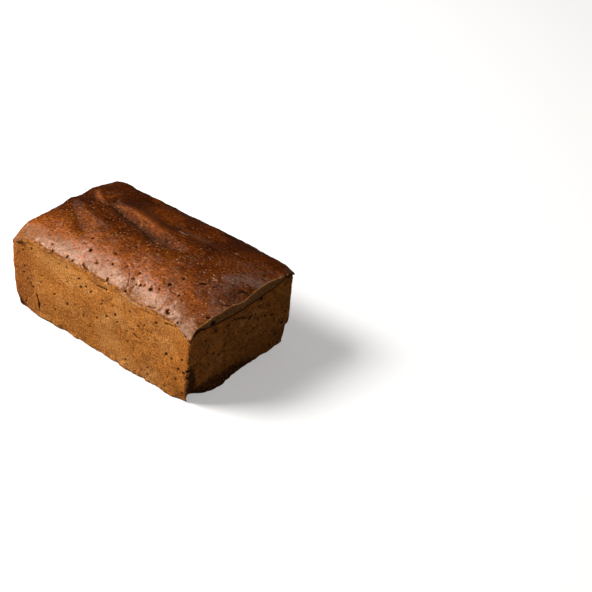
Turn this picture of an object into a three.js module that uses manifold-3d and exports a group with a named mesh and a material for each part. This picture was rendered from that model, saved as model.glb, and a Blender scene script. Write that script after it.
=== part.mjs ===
// A small tin loaf: dense brown bread with a domed, glossy crust, baked in an open tin that widens upwards.
// Units are millimetres. +X runs along the length, +Y across it and +Z up.
// The origin is on the plane of the flat base that the loaf stands on, under the middle of the loaf's box.
import * as THREE from "three";
import { mergeVertices } from "three/addons/utils/BufferGeometryUtils.js";
import Module from "manifold-3d";

// Driving dimensions
const BASE_LENGTH = 161;
const BASE_WIDTH = 97;
const WALL_LEAN = { front: 0.014, right: 0.074, back: 0.05, left: 0.056 }; // outward step per millimetre up
const WALL_BELLY = 1.1; // how far a wall bulges at half height
const CORNER_RADIUS = 2;
const FOOT_RADIUS = 1.2;
const CROWN = 4.7; // rise of the middle of the top over its rim
const SHOULDER = 2.4; // height of the rounded shoulder above the rim
const SHOULDER_WIDTH = { front: 15, back: 13, left: 11, right: 26 };
const CENTRING = [-1.3, -0.9]; // moves the leaning loaf so that its box is centred on the origin
const LOAF_COLOUR = 0xa8692f;

const HALF_LENGTH = BASE_LENGTH / 2;
const HALF_WIDTH = BASE_WIDTH / 2;

// Height of the crust's rim along each side: at its start, its middle and its end.
// Front is the -Y side, back the +Y side, left the -X end and right the +X end.
const CORNER_HEIGHT = { frontLeft: 61.5, frontRight: 60, backLeft: 56.2, backRight: 60 };
const MIDDLE_HEIGHT = { front: 61.9, right: 65.8, back: 59.6, left: 59.7 };

// Where the rim drops into a corner of the tin, with its reach along X and along Y
const CORNER_DIPS = [
  { side: [1, -1], depth: 6, reach: [8, 3] },
  { side: [-1, -1], depth: 8.5, reach: [11, 9] },
  { side: [1, 1], depth: 2, reach: [6, 6] },
  { side: [-1, 1], depth: 1, reach: [8, 8] },
];

// Flakes and sags of the rim: the side they are on, where along it, how high and how wide
const RIM_MARKS = [
  { side: [-1, 0], at: 4.5, lift: 2, width: 6 },
  { side: [-1, 0], at: 26, lift: 2.2, width: 10 },
  { side: [0, 1], at: -72, lift: 1.6, width: 9 },
  { side: [0, -1], at: -11, lift: 1.2, width: 6 },
  { side: [0, -1], at: 34, lift: -1.6, width: 9 },
  { side: [1, 0], at: -3, lift: -3.4, width: 9 },
  { side: [1, 0], at: -33, lift: 1.4, width: 8 },
];
const RIM_MARK_REACH = 8;

// Folds of the top crust: soft valleys (negative) and ridges (positive), each along a short path in plan
const FOLDS = [
  { lift: -3, width: 4.4, path: [[-60, 16], [-40, 11.5], [-11, 4.3], [4, -1], [23, 0.5]] },
  { lift: 2, width: 6.5, path: [[-48, 20.5], [-28, 16], [-2, 10], [23, 8.5]] },
  { lift: -2.2, width: 8, path: [[-63, 38], [-24, 28], [6, 22], [40, 17]] },
  { lift: -3.4, width: 11, path: [[-52, 50], [-24, 50]] },
  { lift: 1.6, width: 11, path: [[6, 43], [34, 43]] },
  { lift: 1, width: 1.9, path: [[7, 16], [18, 17]] },
  { lift: 1.4, width: 2.2, path: [[-75, 27], [-63.5, 17], [-57, 14.4], [-52.5, 16]] },
  { lift: -1.6, width: 6, path: [[-66, 30], [-60, 24]] },
  { lift: -1.4, width: 1.9, path: [[-51, 16.4], [-56, 25], [-58.6, 32.4]] },
  { lift: -1.5, width: 4.5, path: [[-66, -2], [-57, -11], [-46, -19.5], [-35, -27]] },
  { lift: 1.2, width: 4, path: [[-74, 10], [-58, -5], [-32, -8]] },
  { lift: -1.1, width: 5, path: [[73, -21], [78, -12]] },
  { lift: 1, width: 3.4, path: [[76, 0], [81, 0]] },
];
const FOLD_MARGIN = 6; // folds fade out over this distance from the rim

// Tears in the right end's wall, each along a path of (y, z)
const END_TEARS = [
  { depth: 1.1, width: 2, path: [[-15, 49], [-2.5, 47.7], [5, 43.6], [10.5, 45.5]] },
  { depth: 0.9, width: 2, path: [[15, 38.8], [23, 35.2], [33, 31.4]] },
];

// The crust rolls over the right end as a lip down to a seam, with a notch under it. The other sides have a
// thin edge.
const END_SEAM = { front: 59.8, middle: 55.6, back: 61 };
const END_LIP = { thin: 1.2, flat: 0.4, proud: 1.6, notch: 0.9 };
const FAR_LIP = { thick: 3, proud: 0.5, notch: 0.25 };
const SIDE_LIP = { thick: 2, proud: 0.25, notch: 0.1 };
const LIP_START = -47; // y where the right end's lip starts to stand proud
const LIP_GROWTH = 14;
const NOTCH_PLACE = 1.25; // in lip thicknesses below the rim
const NOTCH_WIDTH = 1.2;

// Foot: the crumbly bottom edge, with pieces missing near the corners, a step torn out of the back right
// corner and a swelling on the right end
const FOOT_CHIPS = [
  { at: [80.5, -41], depth: 6.5, width: 7.5 },
  { at: [-76, -48.5], depth: 2.6, width: 7 },
  { at: [80.5, 48.5], depth: 0.8, width: 7 },
  { at: [-80, 48.5], depth: 1.8, width: 7 },
];
const FOOT_CHIP_HEIGHT = 7;
const FOOT_STEP = { at: [80.5, 48.5], depth: 1.6, width: 9, height: 17, edge: 3 };
const FOOT_SWELLING = { at: -22, proud: 1.8, width: 16 };
const FOOT_HEIGHT = 6;
const FOOT_CRUMBLE = 0.9;

// Uneven surface: amplitude, size of a lump, and a seed of its own
const LUMPS = {
  rim: { height: 0.5, grain: 14, seed: 3 },
  top: { height: 0.5, grain: 16, seed: 11 },
  topFine: { height: 0.22, grain: 6, seed: 12 },
  wall: { height: 0.7, grain: 22, seed: 21 },
  wallFine: { height: 0.25, grain: 6, seed: 22 },
  foot: { height: FOOT_CRUMBLE, grain: 5, seed: 31 },
};
const TOP_LUMP_LEVEL = 5;

// Facets
const LENGTH_CELLS = 56;
const WIDTH_CELLS = 36;
const EDGE_CROWDING = 0.25; // cells near an edge are this much denser
const LIP_ROWS = [0, 0.15, 0.5, 0.9, 1.25, 1.7]; // rows under the rim, in lip thicknesses
const WALL_ROWS = [0.86, 0.72, 0.58, 0.44, 0.3, 0.17, 0.07]; // rows below those, in shares of the height left
const SUNK = 2; // the raw form reaches this far below the base plane, and is cut flat there
const TOP_REACH = 24; // the wall's offset fades out over this distance from the rim

function signOf(value) {
  return value < 0 ? -1 : 1;
}

function clamp(value) {
  return Math.min(Math.max(value, 0), 1);
}

// An S-shaped step from 0 to 1.
function smooth(value) {
  const t = clamp(value);
  return t * t * (3 - 2 * t);
}

function bell(distance, width) {
  return Math.exp(-((distance / width) ** 2));
}

// A parabola through three heights, at t = 0, a half and 1.
function arch(t, start, middle, end) {
  const sag = middle - (start + end) / 2;
  return start + (end - start) * t + 4 * sag * t * (1 - t);
}

// A quarter circle that rises from 0 at the rim to 1 at the given width.
function quarterRound(distance, width) {
  const t = 1 - clamp(distance / width);
  return Math.sqrt(1 - t * t);
}

// A gentler rise of the same kind, a quarter of a parabola.
function easeOut(distance, width) {
  const t = 1 - clamp(distance / width);
  return 1 - t * t;
}

// A repeatable number from -1 to 1 for a point of the whole-number grid.
function gridValue(ix, iy, iz, seed) {
  let h = Math.imul(ix, 374761393) + Math.imul(iy, 668265263);
  h += Math.imul(iz, 1274126177) + seed * 362437;
  h = Math.imul(h ^ (h >>> 13), 1103515245);
  h ^= h >>> 16;
  return ((h >>> 0) / 4294967295) * 2 - 1;
}

// Smooth lumps: the grid's values blended between its points.
function lumps(x, y, z, { height, grain, seed }) {
  const cell = [x, y, z].map((value) => Math.floor(value / grain));
  const part = [x, y, z].map((value, axis) => smooth(value / grain - cell[axis]));
  let sum = 0;
  for (const dx of [0, 1]) {
    for (const dy of [0, 1]) {
      for (const dz of [0, 1]) {
        const share =
          (dx ? part[0] : 1 - part[0]) * (dy ? part[1] : 1 - part[1]) * (dz ? part[2] : 1 - part[2]);
        sum += share * gridValue(cell[0] + dx, cell[1] + dy, cell[2] + dz, seed);
      }
    }
  }
  return height * sum;
}

// A soft bell-shaped stroke along a path, weaker at its two ends.
function stroke(x, y, path, width) {
  const steps = path.slice(1).map(([bx, by], k) => Math.hypot(bx - path[k][0], by - path[k][1]));
  const length = steps.reduce((sum, step) => sum + step, 0);
  let nearest = Infinity;
  let place = 0;
  let passed = 0;
  steps.forEach((step, k) => {
    const [ax, ay] = path[k];
    const dx = (path[k + 1][0] - ax) / step;
    const dy = (path[k + 1][1] - ay) / step;
    const t = Math.min(Math.max((x - ax) * dx + (y - ay) * dy, 0), step);
    const distance = Math.hypot(x - ax - t * dx, y - ay - t * dy);
    if (distance < nearest) {
      nearest = distance;
      place = (passed + t) / length;
    }
    passed += step;
  });
  const ENDS = 0.3;
  return bell(nearest, width) * (0.2 + 0.8 * smooth(Math.min(place, 1 - place) / ENDS));
}

// Height of the rim at a point of the plan, carried on smoothly between the four sides.
function rimHeight(x, y) {
  const u = clamp((x / HALF_LENGTH + 1) / 2);
  const v = clamp((y / HALF_WIDTH + 1) / 2);
  const { frontLeft, frontRight, backLeft, backRight } = CORNER_HEIGHT;
  const front = arch(u, frontLeft, MIDDLE_HEIGHT.front, frontRight);
  const back = arch(u, backLeft, MIDDLE_HEIGHT.back, backRight);
  const left = arch(v, frontLeft, MIDDLE_HEIGHT.left, backLeft);
  const right = arch(v, frontRight, MIDDLE_HEIGHT.right, backRight);
  const corners =
    (1 - u) * (1 - v) * frontLeft + u * (1 - v) * frontRight + (1 - u) * v * backLeft + u * v * backRight;
  let height = (1 - v) * front + v * back + (1 - u) * left + u * right - corners;
  for (const { side, depth, reach } of CORNER_DIPS) {
    height -= depth * bell(x - side[0] * HALF_LENGTH, reach[0]) * bell(y - side[1] * HALF_WIDTH, reach[1]);
  }
  for (const { side, at, lift, width } of RIM_MARKS) {
    const onEnd = side[0] !== 0;
    const inward = onEnd ? HALF_LENGTH - side[0] * x : HALF_WIDTH - side[1] * y;
    height += lift * bell((onEnd ? y : x) - at, width) * bell(inward, RIM_MARK_REACH);
  }
  return height + lumps(x, y, 0, LUMPS.rim);
}

// Height of the crust: the rim, the crown, the rounded shoulder and the folds.
function crustHeight(x, y) {
  const u = Math.min(Math.abs(x) / HALF_LENGTH, 1);
  const v = Math.min(Math.abs(y) / HALF_WIDTH, 1);
  const crown = CROWN * (1 - u ** 3) * (1 - v ** 2.4);
  const shoulder =
    SHOULDER *
    quarterRound(y + HALF_WIDTH, SHOULDER_WIDTH.front) *
    quarterRound(HALF_WIDTH - y, SHOULDER_WIDTH.back) *
    quarterRound(x + HALF_LENGTH, SHOULDER_WIDTH.left) *
    easeOut(HALF_LENGTH - x, SHOULDER_WIDTH.right);
  let relief = lumps(x, y, TOP_LUMP_LEVEL, LUMPS.top) + lumps(x, y, TOP_LUMP_LEVEL, LUMPS.topFine);
  for (const { lift, width, path } of FOLDS) {
    relief += lift * stroke(x, y, path, width);
  }
  const inward = Math.min(HALF_LENGTH - Math.abs(x), HALF_WIDTH - Math.abs(y));
  return rimHeight(x, y) + crown + shoulder + relief * clamp(inward / FOLD_MARGIN);
}

// Rounds the plan's square corners. Gives the point's new place, its outward direction and its distance
// from the rim.
function plan(x, y) {
  const straightX = HALF_LENGTH - CORNER_RADIUS;
  const straightY = HALF_WIDTH - CORNER_RADIUS;
  const pastX = Math.max(Math.abs(x) - straightX, 0);
  const pastY = Math.max(Math.abs(y) - straightY, 0);
  const long = Math.hypot(pastX, pastY);
  const squeeze = long > 0 ? Math.max(pastX, pastY) / long : 1;
  const px = pastX > 0 ? straightX + pastX * squeeze : Math.abs(x);
  const py = pastY > 0 ? straightY + pastY * squeeze : Math.abs(y);
  const inCorner = pastX > 0 && pastY > 0;
  const gapX = HALF_LENGTH - px;
  const gapY = HALF_WIDTH - py;
  const out = inCorner ? [pastX / long, pastY / long] : gapX < gapY ? [1, 0] : [0, 1];
  return {
    x: signOf(x) * px,
    y: signOf(y) * py,
    nx: signOf(x) * out[0],
    ny: signOf(y) * out[1],
    inward: inCorner ? CORNER_RADIUS - long * squeeze : Math.min(gapX, gapY),
  };
}

// Thickness of the crust's lip, how far it stands proud and how deep the notch under it is.
function lipAt({ y, nx, ny }, rim) {
  const right = clamp(nx) ** 2;
  const left = clamp(-nx) ** 2;
  const side = ny ** 2;
  const growth = smooth((y - LIP_START) / LIP_GROWTH);
  const seam = arch((y / HALF_WIDTH + 1) / 2, END_SEAM.front, END_SEAM.middle, END_SEAM.back);
  const endThickness = Math.max(rim - seam, END_LIP.thin);
  const endProud = END_LIP.flat + (END_LIP.proud - END_LIP.flat) * growth;
  const endNotch = END_LIP.notch * (0.3 + 0.7 * growth);
  return {
    thickness: right * endThickness + left * FAR_LIP.thick + side * SIDE_LIP.thick,
    proud: right * endProud + left * FAR_LIP.proud + side * SIDE_LIP.proud,
    notch: right * endNotch + left * FAR_LIP.notch + side * SIDE_LIP.notch,
  };
}

// How far the tin's flare moves a point of the plan for each millimetre of height.
function flareAt({ x, y }) {
  const u = (x / HALF_LENGTH + 1) / 2;
  const v = (y / HALF_WIDTH + 1) / 2;
  return [u * WALL_LEAN.right - (1 - u) * WALL_LEAN.left, v * WALL_LEAN.back - (1 - v) * WALL_LEAN.front];
}

// How far the wall swells out of the flared plan at height z, before the lip and the foot.
function wallSwell(place, z, rim) {
  const t = clamp(z / rim);
  const belly = WALL_BELLY * 4 * t * (1 - t);
  const uneven = lumps(place.x, place.y, z, LUMPS.wall) + lumps(place.x, place.y, z, LUMPS.wallFine);
  return belly + uneven;
}

// The rounded, crumbling bottom edge.
function footOffset(place, z) {
  const t = 1 - clamp(z / FOOT_RADIUS);
  const round = -FOOT_RADIUS * (1 - Math.sqrt(1 - t * t));
  const low = bell(z, FOOT_HEIGHT);
  const crumble = low * lumps(place.x, place.y, z, LUMPS.foot);
  const swelling =
    clamp(place.nx) ** 2 * low * FOOT_SWELLING.proud * bell(place.y - FOOT_SWELLING.at, FOOT_SWELLING.width);
  const nearStep = bell(Math.hypot(place.x - FOOT_STEP.at[0], place.y - FOOT_STEP.at[1]), FOOT_STEP.width);
  const step = FOOT_STEP.depth * nearStep * smooth((FOOT_STEP.height - z) / FOOT_STEP.edge + 0.5);
  let offset = round + crumble + swelling - step;
  for (const { at, depth, width } of FOOT_CHIPS) {
    offset -= depth * bell(Math.hypot(place.x - at[0], place.y - at[1]), width) * bell(z, FOOT_CHIP_HEIGHT);
  }
  return offset;
}

// A point of a wall, from its place on the plan's outline and its height.
function wallPoint(place, z, rim, lip) {
  const below = (rim - z) / lip.thickness;
  const lipOn = smooth((1.2 - below) / 0.4);
  const rolled = 1 - 0.4 * clamp(1 - 4 * below) ** 2;
  const notch = lip.notch * bell((below - NOTCH_PLACE) * lip.thickness, NOTCH_WIDTH);
  let offset = wallSwell(place, z, rim) + lip.proud * lipOn * rolled - notch + footOffset(place, z);
  for (const { depth, width, path } of END_TEARS) {
    offset -= clamp(place.nx) ** 2 * depth * stroke(place.y, z, path, width);
  }
  const flare = flareAt(place);
  return [place.x + place.nx * offset + flare[0] * z, place.y + place.ny * offset + flare[1] * z, z];
}

// A point of the top crust. Near the rim it keeps the wall's offset, so that the two meet.
function crustPoint(x, y) {
  const place = plan(x, y);
  const rim = rimHeight(place.x, place.y);
  const flare = flareAt(place).map((step) => step * rim);
  const [rimX, rimY] = wallPoint(place, rim, rim, lipAt(place, rim));
  const kept = clamp(1 - place.inward / TOP_REACH) ** 2;
  return [
    place.x + flare[0] + (rimX - flare[0] - place.x) * kept,
    place.y + flare[1] + (rimY - flare[1] - place.y) * kept,
    crustHeight(place.x, place.y),
  ];
}

// Spreads even positions from -1 to 1 so that they lie closer together near both ends.
function crowded(t) {
  return t + EDGE_CROWDING * (t - t ** 3);
}

// The height of each row of a wall, from below the base plane up to the rim.
function rowHeights(rim, lip) {
  const lowest = rim - LIP_ROWS.at(-1) * lip.thickness;
  const upper = LIP_ROWS.map((below) => rim - below * lip.thickness);
  return [...upper, ...WALL_ROWS.map((share) => share * lowest), -SUNK].reverse();
}

function loafGeometry() {
  const rows = LIP_ROWS.length + WALL_ROWS.length;
  const geometry = new THREE.BoxGeometry(2, 2, rows, LENGTH_CELLS, WIDTH_CELLS, rows);
  const position = geometry.getAttribute("position");
  for (let k = 0; k < position.count; k++) {
    const x = crowded(position.getX(k)) * HALF_LENGTH;
    const y = crowded(position.getY(k)) * HALF_WIDTH;
    const row = Math.round(position.getZ(k) + rows / 2);
    const onTop = row === rows;
    const onOutline = Math.abs(position.getX(k)) > 0.9999 || Math.abs(position.getY(k)) > 0.9999;
    const place = plan(x, y);
    const rim = rimHeight(place.x, place.y);
    const lip = lipAt(place, rim);
    if (onTop) {
      position.setXYZ(k, ...(onOutline ? wallPoint(place, rim, rim, lip) : crustPoint(x, y)));
    } else if (onOutline) {
      position.setXYZ(k, ...wallPoint(place, rowHeights(rim, lip)[row], rim, lip));
    } else {
      position.setXYZ(k, place.x, place.y, -SUNK);
    }
  }
  geometry.translate(CENTRING[0], CENTRING[1], 0);
  geometry.deleteAttribute("normal");
  geometry.deleteAttribute("uv");
  return mergeVertices(geometry, 1e-4);
}

const wasm = await Module();
wasm.setup();

function solidOf(geometry) {
  return new wasm.Manifold(
    new wasm.Mesh({
      numProp: 3,
      vertProperties: geometry.getAttribute("position").array,
      triVerts: new Uint32Array(geometry.index.array),
    }),
  );
}

function geometryOf(solid) {
  const { vertProperties, triVerts } = solid.getMesh();
  const geometry = new THREE.BufferGeometry();
  geometry.setAttribute("position", new THREE.BufferAttribute(vertProperties, 3));
  geometry.setIndex(new THREE.BufferAttribute(triVerts, 1));
  geometry.computeVertexNormals();
  return geometry;
}

// The half space above the base plane, as a box much larger than the loaf.
function aboveBase() {
  const size = 2 * BASE_LENGTH;
  const box = new THREE.BoxGeometry(size, size, size);
  box.translate(0, 0, size / 2);
  box.deleteAttribute("normal");
  box.deleteAttribute("uv");
  return solidOf(mergeVertices(box, 1e-4));
}

const material = new THREE.MeshStandardMaterial({ color: LOAF_COLOUR, roughness: 0.65, metalness: 0 });
const loaf = new THREE.Mesh(geometryOf(solidOf(loafGeometry()).intersect(aboveBase())), material);
loaf.name = "loaf";

const tinLoaf = new THREE.Group();
tinLoaf.add(loaf);

export default tinLoaf;
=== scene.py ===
"""A small tin loaf: dense brown bread with a domed, glossy crust and matt, sponge-like walls.

The loaf's form is worked out in millimetres by LoafForm and turned to metres at the end, with +X along the
length, +Y across it and +Z up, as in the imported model. Front is the -Y side, back the +Y side, left the -X
end and right the +X end.
"""

import itertools
import logging
import math
import random
from dataclasses import dataclass, field
from enum import Enum
from functools import cached_property

import bmesh
import bpy
import numpy as np
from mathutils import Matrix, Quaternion, Vector


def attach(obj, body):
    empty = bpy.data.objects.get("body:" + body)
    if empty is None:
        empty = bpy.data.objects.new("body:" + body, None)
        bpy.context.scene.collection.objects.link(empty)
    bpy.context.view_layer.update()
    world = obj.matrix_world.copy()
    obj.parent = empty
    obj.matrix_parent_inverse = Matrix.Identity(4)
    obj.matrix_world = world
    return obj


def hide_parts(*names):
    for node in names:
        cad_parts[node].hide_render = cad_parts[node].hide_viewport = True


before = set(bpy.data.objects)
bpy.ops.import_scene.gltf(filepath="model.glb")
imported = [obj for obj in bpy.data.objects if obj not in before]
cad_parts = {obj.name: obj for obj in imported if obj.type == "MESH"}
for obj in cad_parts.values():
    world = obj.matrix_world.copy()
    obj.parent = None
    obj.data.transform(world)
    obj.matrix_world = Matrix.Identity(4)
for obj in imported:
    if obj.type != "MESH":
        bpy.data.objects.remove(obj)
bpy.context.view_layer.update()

LOG = logging.getLogger("tin_loaf")
MM = 0.001
HASH_STEPS = (374761393, 668265263, 1274126177)
HASH_SEED = 362437
HASH_MIX = 1103515245
Array = np.ndarray
Pair = tuple[float, float]
Triple = tuple[float, float, float]
Path = tuple[Pair, ...]
Colour = Triple
Socket = bpy.types.NodeSocket
Value = Socket | float
Paint = Socket | Colour


class Side(Enum):
    """A side of the loaf. The value is its number in the arrays of sides."""

    TOP = 0
    FRONT = 1
    BACK = 2
    LEFT = 3
    RIGHT = 4


def smooth(value: Array) -> Array:
    """An S-shaped step from 0 to 1."""
    t = np.clip(value, 0.0, 1.0)
    return t * t * (3.0 - 2.0 * t)


def fall(distance: Array, end: float | Array, width: float) -> Array:
    """1 at small distances, falling to 0 at the end over the last stretch of that width."""
    return smooth((end - distance) / width)


def bell(distance: Array, width: float) -> Array:
    """A bell curve: 1 at no distance, falling off over the width."""
    return np.exp(-((distance / width) ** 2))


def arch(t: Array, start: float, middle: float, end: float) -> Array:
    """A parabola through three heights, at t = 0, a half and 1."""
    sag = middle - (start + end) / 2
    return start + (end - start) * t + 4 * sag * t * (1 - t)


def quarter_round(distance: Array, width: float) -> Array:
    """A quarter circle that rises from 0 at the rim to 1 at the width."""
    t = 1 - np.clip(distance / width, 0, 1)
    return np.sqrt(1 - t * t)


def ease_out(distance: Array, width: float) -> Array:
    """A gentler rise of the same kind, a quarter of a parabola."""
    t = 1 - np.clip(distance / width, 0, 1)
    return 1 - t * t


def grid_value(ix: Array, iy: Array, iz: Array, seed: int) -> Array:
    """Repeatable numbers from -1 to 1 for points of the whole-number grid.

    Args:
        ix, iy, iz: whole-number places.
        seed: a number that gives each use its own values.

    Returns:
        One value for each place.
    """
    largest = 0xFFFFFFFF
    mask = np.uint64(largest)

    def whole(values: Array) -> Array:
        """The values as 32-bit numbers, held in 64 bits."""
        return values.astype(np.int64).astype(np.uint64) & mask

    h = sum(whole(values) * np.uint64(step) for values, step in zip((ix, iy, iz), HASH_STEPS))
    h = (h + np.uint64(seed * HASH_SEED)) & mask
    h = ((h ^ (h >> np.uint64(13))) * np.uint64(HASH_MIX)) & mask
    h ^= h >> np.uint64(16)
    return h.astype(float) / largest * 2 - 1


@dataclass(frozen=True)
class Lumps:
    """Smooth unevenness: how high it is, how large a lump is, and the seed that places the lumps."""

    height: float
    grain: float
    seed: int

    def at(self, x: Array, y: Array, z: Array | float) -> Array:
        """The unevenness at some points.

        Args:
            x, y, z: places in millimetres.

        Returns:
            Values from -height to height.
        """
        places = [np.asarray(c, float) / self.grain + np.zeros_like(x) for c in (x, y, z)]
        cells = [np.floor(c) for c in places]
        parts = [smooth(c - k) for c, k in zip(places, cells)]
        total = np.zeros_like(x)
        for corner in itertools.product((0, 1), repeat=3):
            share = np.ones_like(x)
            for step, part in zip(corner, parts):
                share = share * (part if step else 1 - part)
            total += share * grid_value(*(c + step for c, step in zip(cells, corner)), self.seed)
        return self.height * total


def near_path(x: Array, y: Array, path: Path) -> tuple[Array, Array]:
    """How near some points are to a path of straight steps.

    Args:
        x, y: the points.
        path: the path's corners.

    Returns:
        Each point's distance from the path, and its place along it from 0 to 1.
    """
    steps = [math.dist(a, b) for a, b in zip(path, path[1:])]
    nearest = np.full(np.shape(x), np.inf)
    place = np.zeros(np.shape(x))
    passed = 0.0
    for (ax, ay), (bx, by), step in zip(path, path[1:], steps):
        dx, dy = (bx - ax) / step, (by - ay) / step
        t = np.clip((x - ax) * dx + (y - ay) * dy, 0, step)
        distance = np.hypot(x - ax - t * dx, y - ay - t * dy)
        closer = distance < nearest
        nearest = np.where(closer, distance, nearest)
        place = np.where(closer, (passed + t) / sum(steps), place)
        passed += step
    return nearest, place


@dataclass(frozen=True)
class Fold:
    """A soft valley (negative lift) or ridge of the top crust, along a path in plan."""

    lift: float
    width: float
    path: Path
    # How strongly the fold's painted shade and light show in the crust's colour.
    shade: float = 1.0
    taper: float = 0.3
    tip_share: float = 0.2

    def at(self, x: Array, y: Array) -> Array:
        """The fold's height at some points, weaker at its two ends.

        Args:
            x, y: the points.

        Returns:
            A height for each point.
        """
        distance, place = near_path(x, y, self.path)
        ends = smooth(np.minimum(place, 1 - place) / self.taper)
        return self.lift * bell(distance, self.width) * (self.tip_share + (1 - self.tip_share) * ends)


@dataclass(frozen=True)
class CornerDip:
    """Where the rim drops into a corner of the tin, with its reach along X and along Y."""

    side: tuple[int, int]
    depth: float
    reach: Pair


@dataclass(frozen=True)
class RimMark:
    """A flake or sag of the rim: the side it is on, where along it, how high and how wide."""

    side: tuple[int, int]
    at: float
    lift: float
    width: float


@dataclass
class Outline:
    """Points on the rounded plan: places, outward directions and how far inside its edge they lie."""

    x: Array
    y: Array
    nx: Array
    ny: Array
    inward: Array

    @property
    def right(self) -> Array:
        """How squarely each point faces the right end, from 0 to 1."""
        return np.clip(self.nx, 0, 1) ** 2


@dataclass(frozen=True)
class FootChip:
    """A piece missing from the bottom edge: its middle on the plan, how deep and how wide it is."""

    at: Pair
    depth: float
    width: float

    def missing(self, place: Outline) -> Array:
        """How deep the piece is at some points of the plan."""
        return self.depth * bell(np.hypot(place.x - self.at[0], place.y - self.at[1]), self.width)


@dataclass(frozen=True)
class LipSize:
    """A lip's sizes along one side: how far it hangs down and stands proud, and the notch under it."""

    thick: float
    proud: float
    notch: float


@dataclass
class Lip:
    """The crust's lip at some points of the rim: how thick and how proud it is, and the notch under it."""

    thickness: Array
    proud: Array
    notch: Array


@dataclass(frozen=True)
class LoafForm:
    """The loaf's sizes, in millimetres, and the surface that follows from them."""

    base_length: float = 161.0
    base_width: float = 97.0
    lean_front: float = 0.014
    lean_right: float = 0.074
    lean_back: float = 0.05
    lean_left: float = 0.056
    wall_belly: float = 1.1
    corner_radius: float = 2.0
    foot_radius: float = 1.2
    crown: float = 4.7
    crown_powers: Pair = (3, 2.4)
    shoulder: float = 2.4
    shoulder_front: float = 15.0
    shoulder_back: float = 13.0
    shoulder_left: float = 11.0
    shoulder_right: float = 26.0
    centring: Pair = (-1.3, -0.9)
    front_left: float = 61.5
    front_right: float = 60.0
    back_left: float = 56.2
    back_right: float = 60.0
    middle_front: float = 61.9
    middle_right: float = 65.8
    middle_back: float = 59.6
    middle_left: float = 59.7
    seam_front: float = 59.8
    seam_middle: float = 55.6
    seam_back: float = 61.0
    end_lip: LipSize = LipSize(1.2, 1.6, 0.9)
    end_lip_flat: LipSize = LipSize(1.2, 0.4, 0.27)
    far_lip: LipSize = LipSize(3.0, 0.5, 0.25)
    side_lip: LipSize = LipSize(2.0, 0.25, 0.1)
    lip_start: float = -47.0
    lip_growth: float = 14.0
    lip_reach: float = 1.2
    lip_edge: float = 0.4
    lip_roll: float = 0.4
    lip_roll_reach: float = 0.25
    notch_place: float = 1.25
    notch_width: float = 1.2
    top_reach: float = 24.0
    fold_margin: float = 6.0
    rim_mark_reach: float = 8.0
    rim_crumb_reach: float = 4.0
    dips: tuple[CornerDip, ...] = (
        CornerDip((1, -1), 6, (8, 3)),
        CornerDip((-1, -1), 8.5, (11, 9)),
        CornerDip((1, 1), 2, (6, 6)),
        CornerDip((-1, 1), 1, (8, 8)),
    )
    marks: tuple[RimMark, ...] = (
        RimMark((-1, 0), 4.5, 2, 6),
        RimMark((-1, 0), 26, 2.2, 10),
        RimMark((0, 1), -72, 1.6, 9),
        RimMark((0, -1), -11, 1.2, 6),
        RimMark((0, -1), 34, -1.6, 9),
        RimMark((1, 0), -3, -3.4, 9),
        RimMark((1, 0), -33, 1.4, 8),
    )
    folds: tuple[Fold, ...] = (
        Fold(-3, 4.4, ((-60, 16), (-40, 11.5), (-11, 4.3), (4, -1), (23, 0.5))),
        Fold(2, 6.5, ((-48, 20.5), (-28, 16), (-2, 10), (23, 8.5)), 0.6),
        Fold(-2.2, 8, ((-63, 38), (-24, 28), (6, 22), (40, 17)), 0.1),
        Fold(-3.4, 11, ((-52, 50), (-24, 50)), 0.1),
        Fold(1.6, 11, ((6, 43), (34, 43)), 0.0),
        Fold(1, 1.9, ((7, 16), (18, 17))),
        Fold(1.4, 2.2, ((-75, 27), (-63.5, 17), (-57, 14.4), (-52.5, 16))),
        Fold(-1.6, 6, ((-66, 30), (-60, 24))),
        Fold(-1.4, 1.9, ((-51, 16.4), (-56, 25), (-58.6, 32.4))),
        Fold(-1.5, 4.5, ((-66, -2), (-57, -11), (-46, -19.5), (-35, -27))),
        Fold(1.2, 4, ((-74, 10), (-58, -5), (-32, -8)), 0.0),
        Fold(-1.1, 5, ((73, -21), (78, -12))),
        Fold(1, 3.4, ((76, 0), (81, 0))),
    )
    tears: tuple[Fold, ...] = (
        Fold(-1.1, 2, ((-15, 49), (-2.5, 47.7), (5, 43.6), (10.5, 45.5))),
        Fold(-0.9, 2, ((15, 38.8), (23, 35.2), (33, 31.4))),
    )
    chips: tuple[FootChip, ...] = (
        FootChip((80.5, -41), 6.5, 7.5),
        FootChip((-76, -48.5), 2.6, 7),
        FootChip((80.5, 48.5), 0.8, 7),
        FootChip((-80, 48.5), 1.8, 7),
    )
    chip_height: float = 7.0
    step: FootChip = FootChip((80.5, 48.5), 1.6, 9)
    step_height: float = 17.0
    step_edge: float = 3.0
    swelling_at: float = -22.0
    swelling_proud: float = 1.8
    swelling_width: float = 16.0
    foot_height: float = 6.0
    foot_crumb_height: float = 3.5
    rim_lumps: Lumps = Lumps(0.5, 14, 3)
    rim_crumbs: Lumps = Lumps(0.28, 3.1, 41)
    top_lumps: Lumps = Lumps(0.5, 16, 11)
    top_ripples: Lumps = Lumps(0.22, 6, 12)
    top_wrinkles: Lumps = Lumps(0.13, 2.6, 42)
    top_lump_level: float = 5.0
    wall_lumps: Lumps = Lumps(0.7, 22, 21)
    wall_ripples: Lumps = Lumps(0.25, 6, 22)
    wall_crumbs: Lumps = Lumps(0.13, 2.4, 43)
    foot_crumble: Lumps = Lumps(0.9, 5, 31)
    foot_crumbs: Lumps = Lumps(0.8, 1.9, 44)

    @property
    def half_length(self) -> float:
        """Half of the base's length."""
        return self.base_length / 2

    @property
    def half_width(self) -> float:
        """Half of the base's width."""
        return self.base_width / 2

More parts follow.
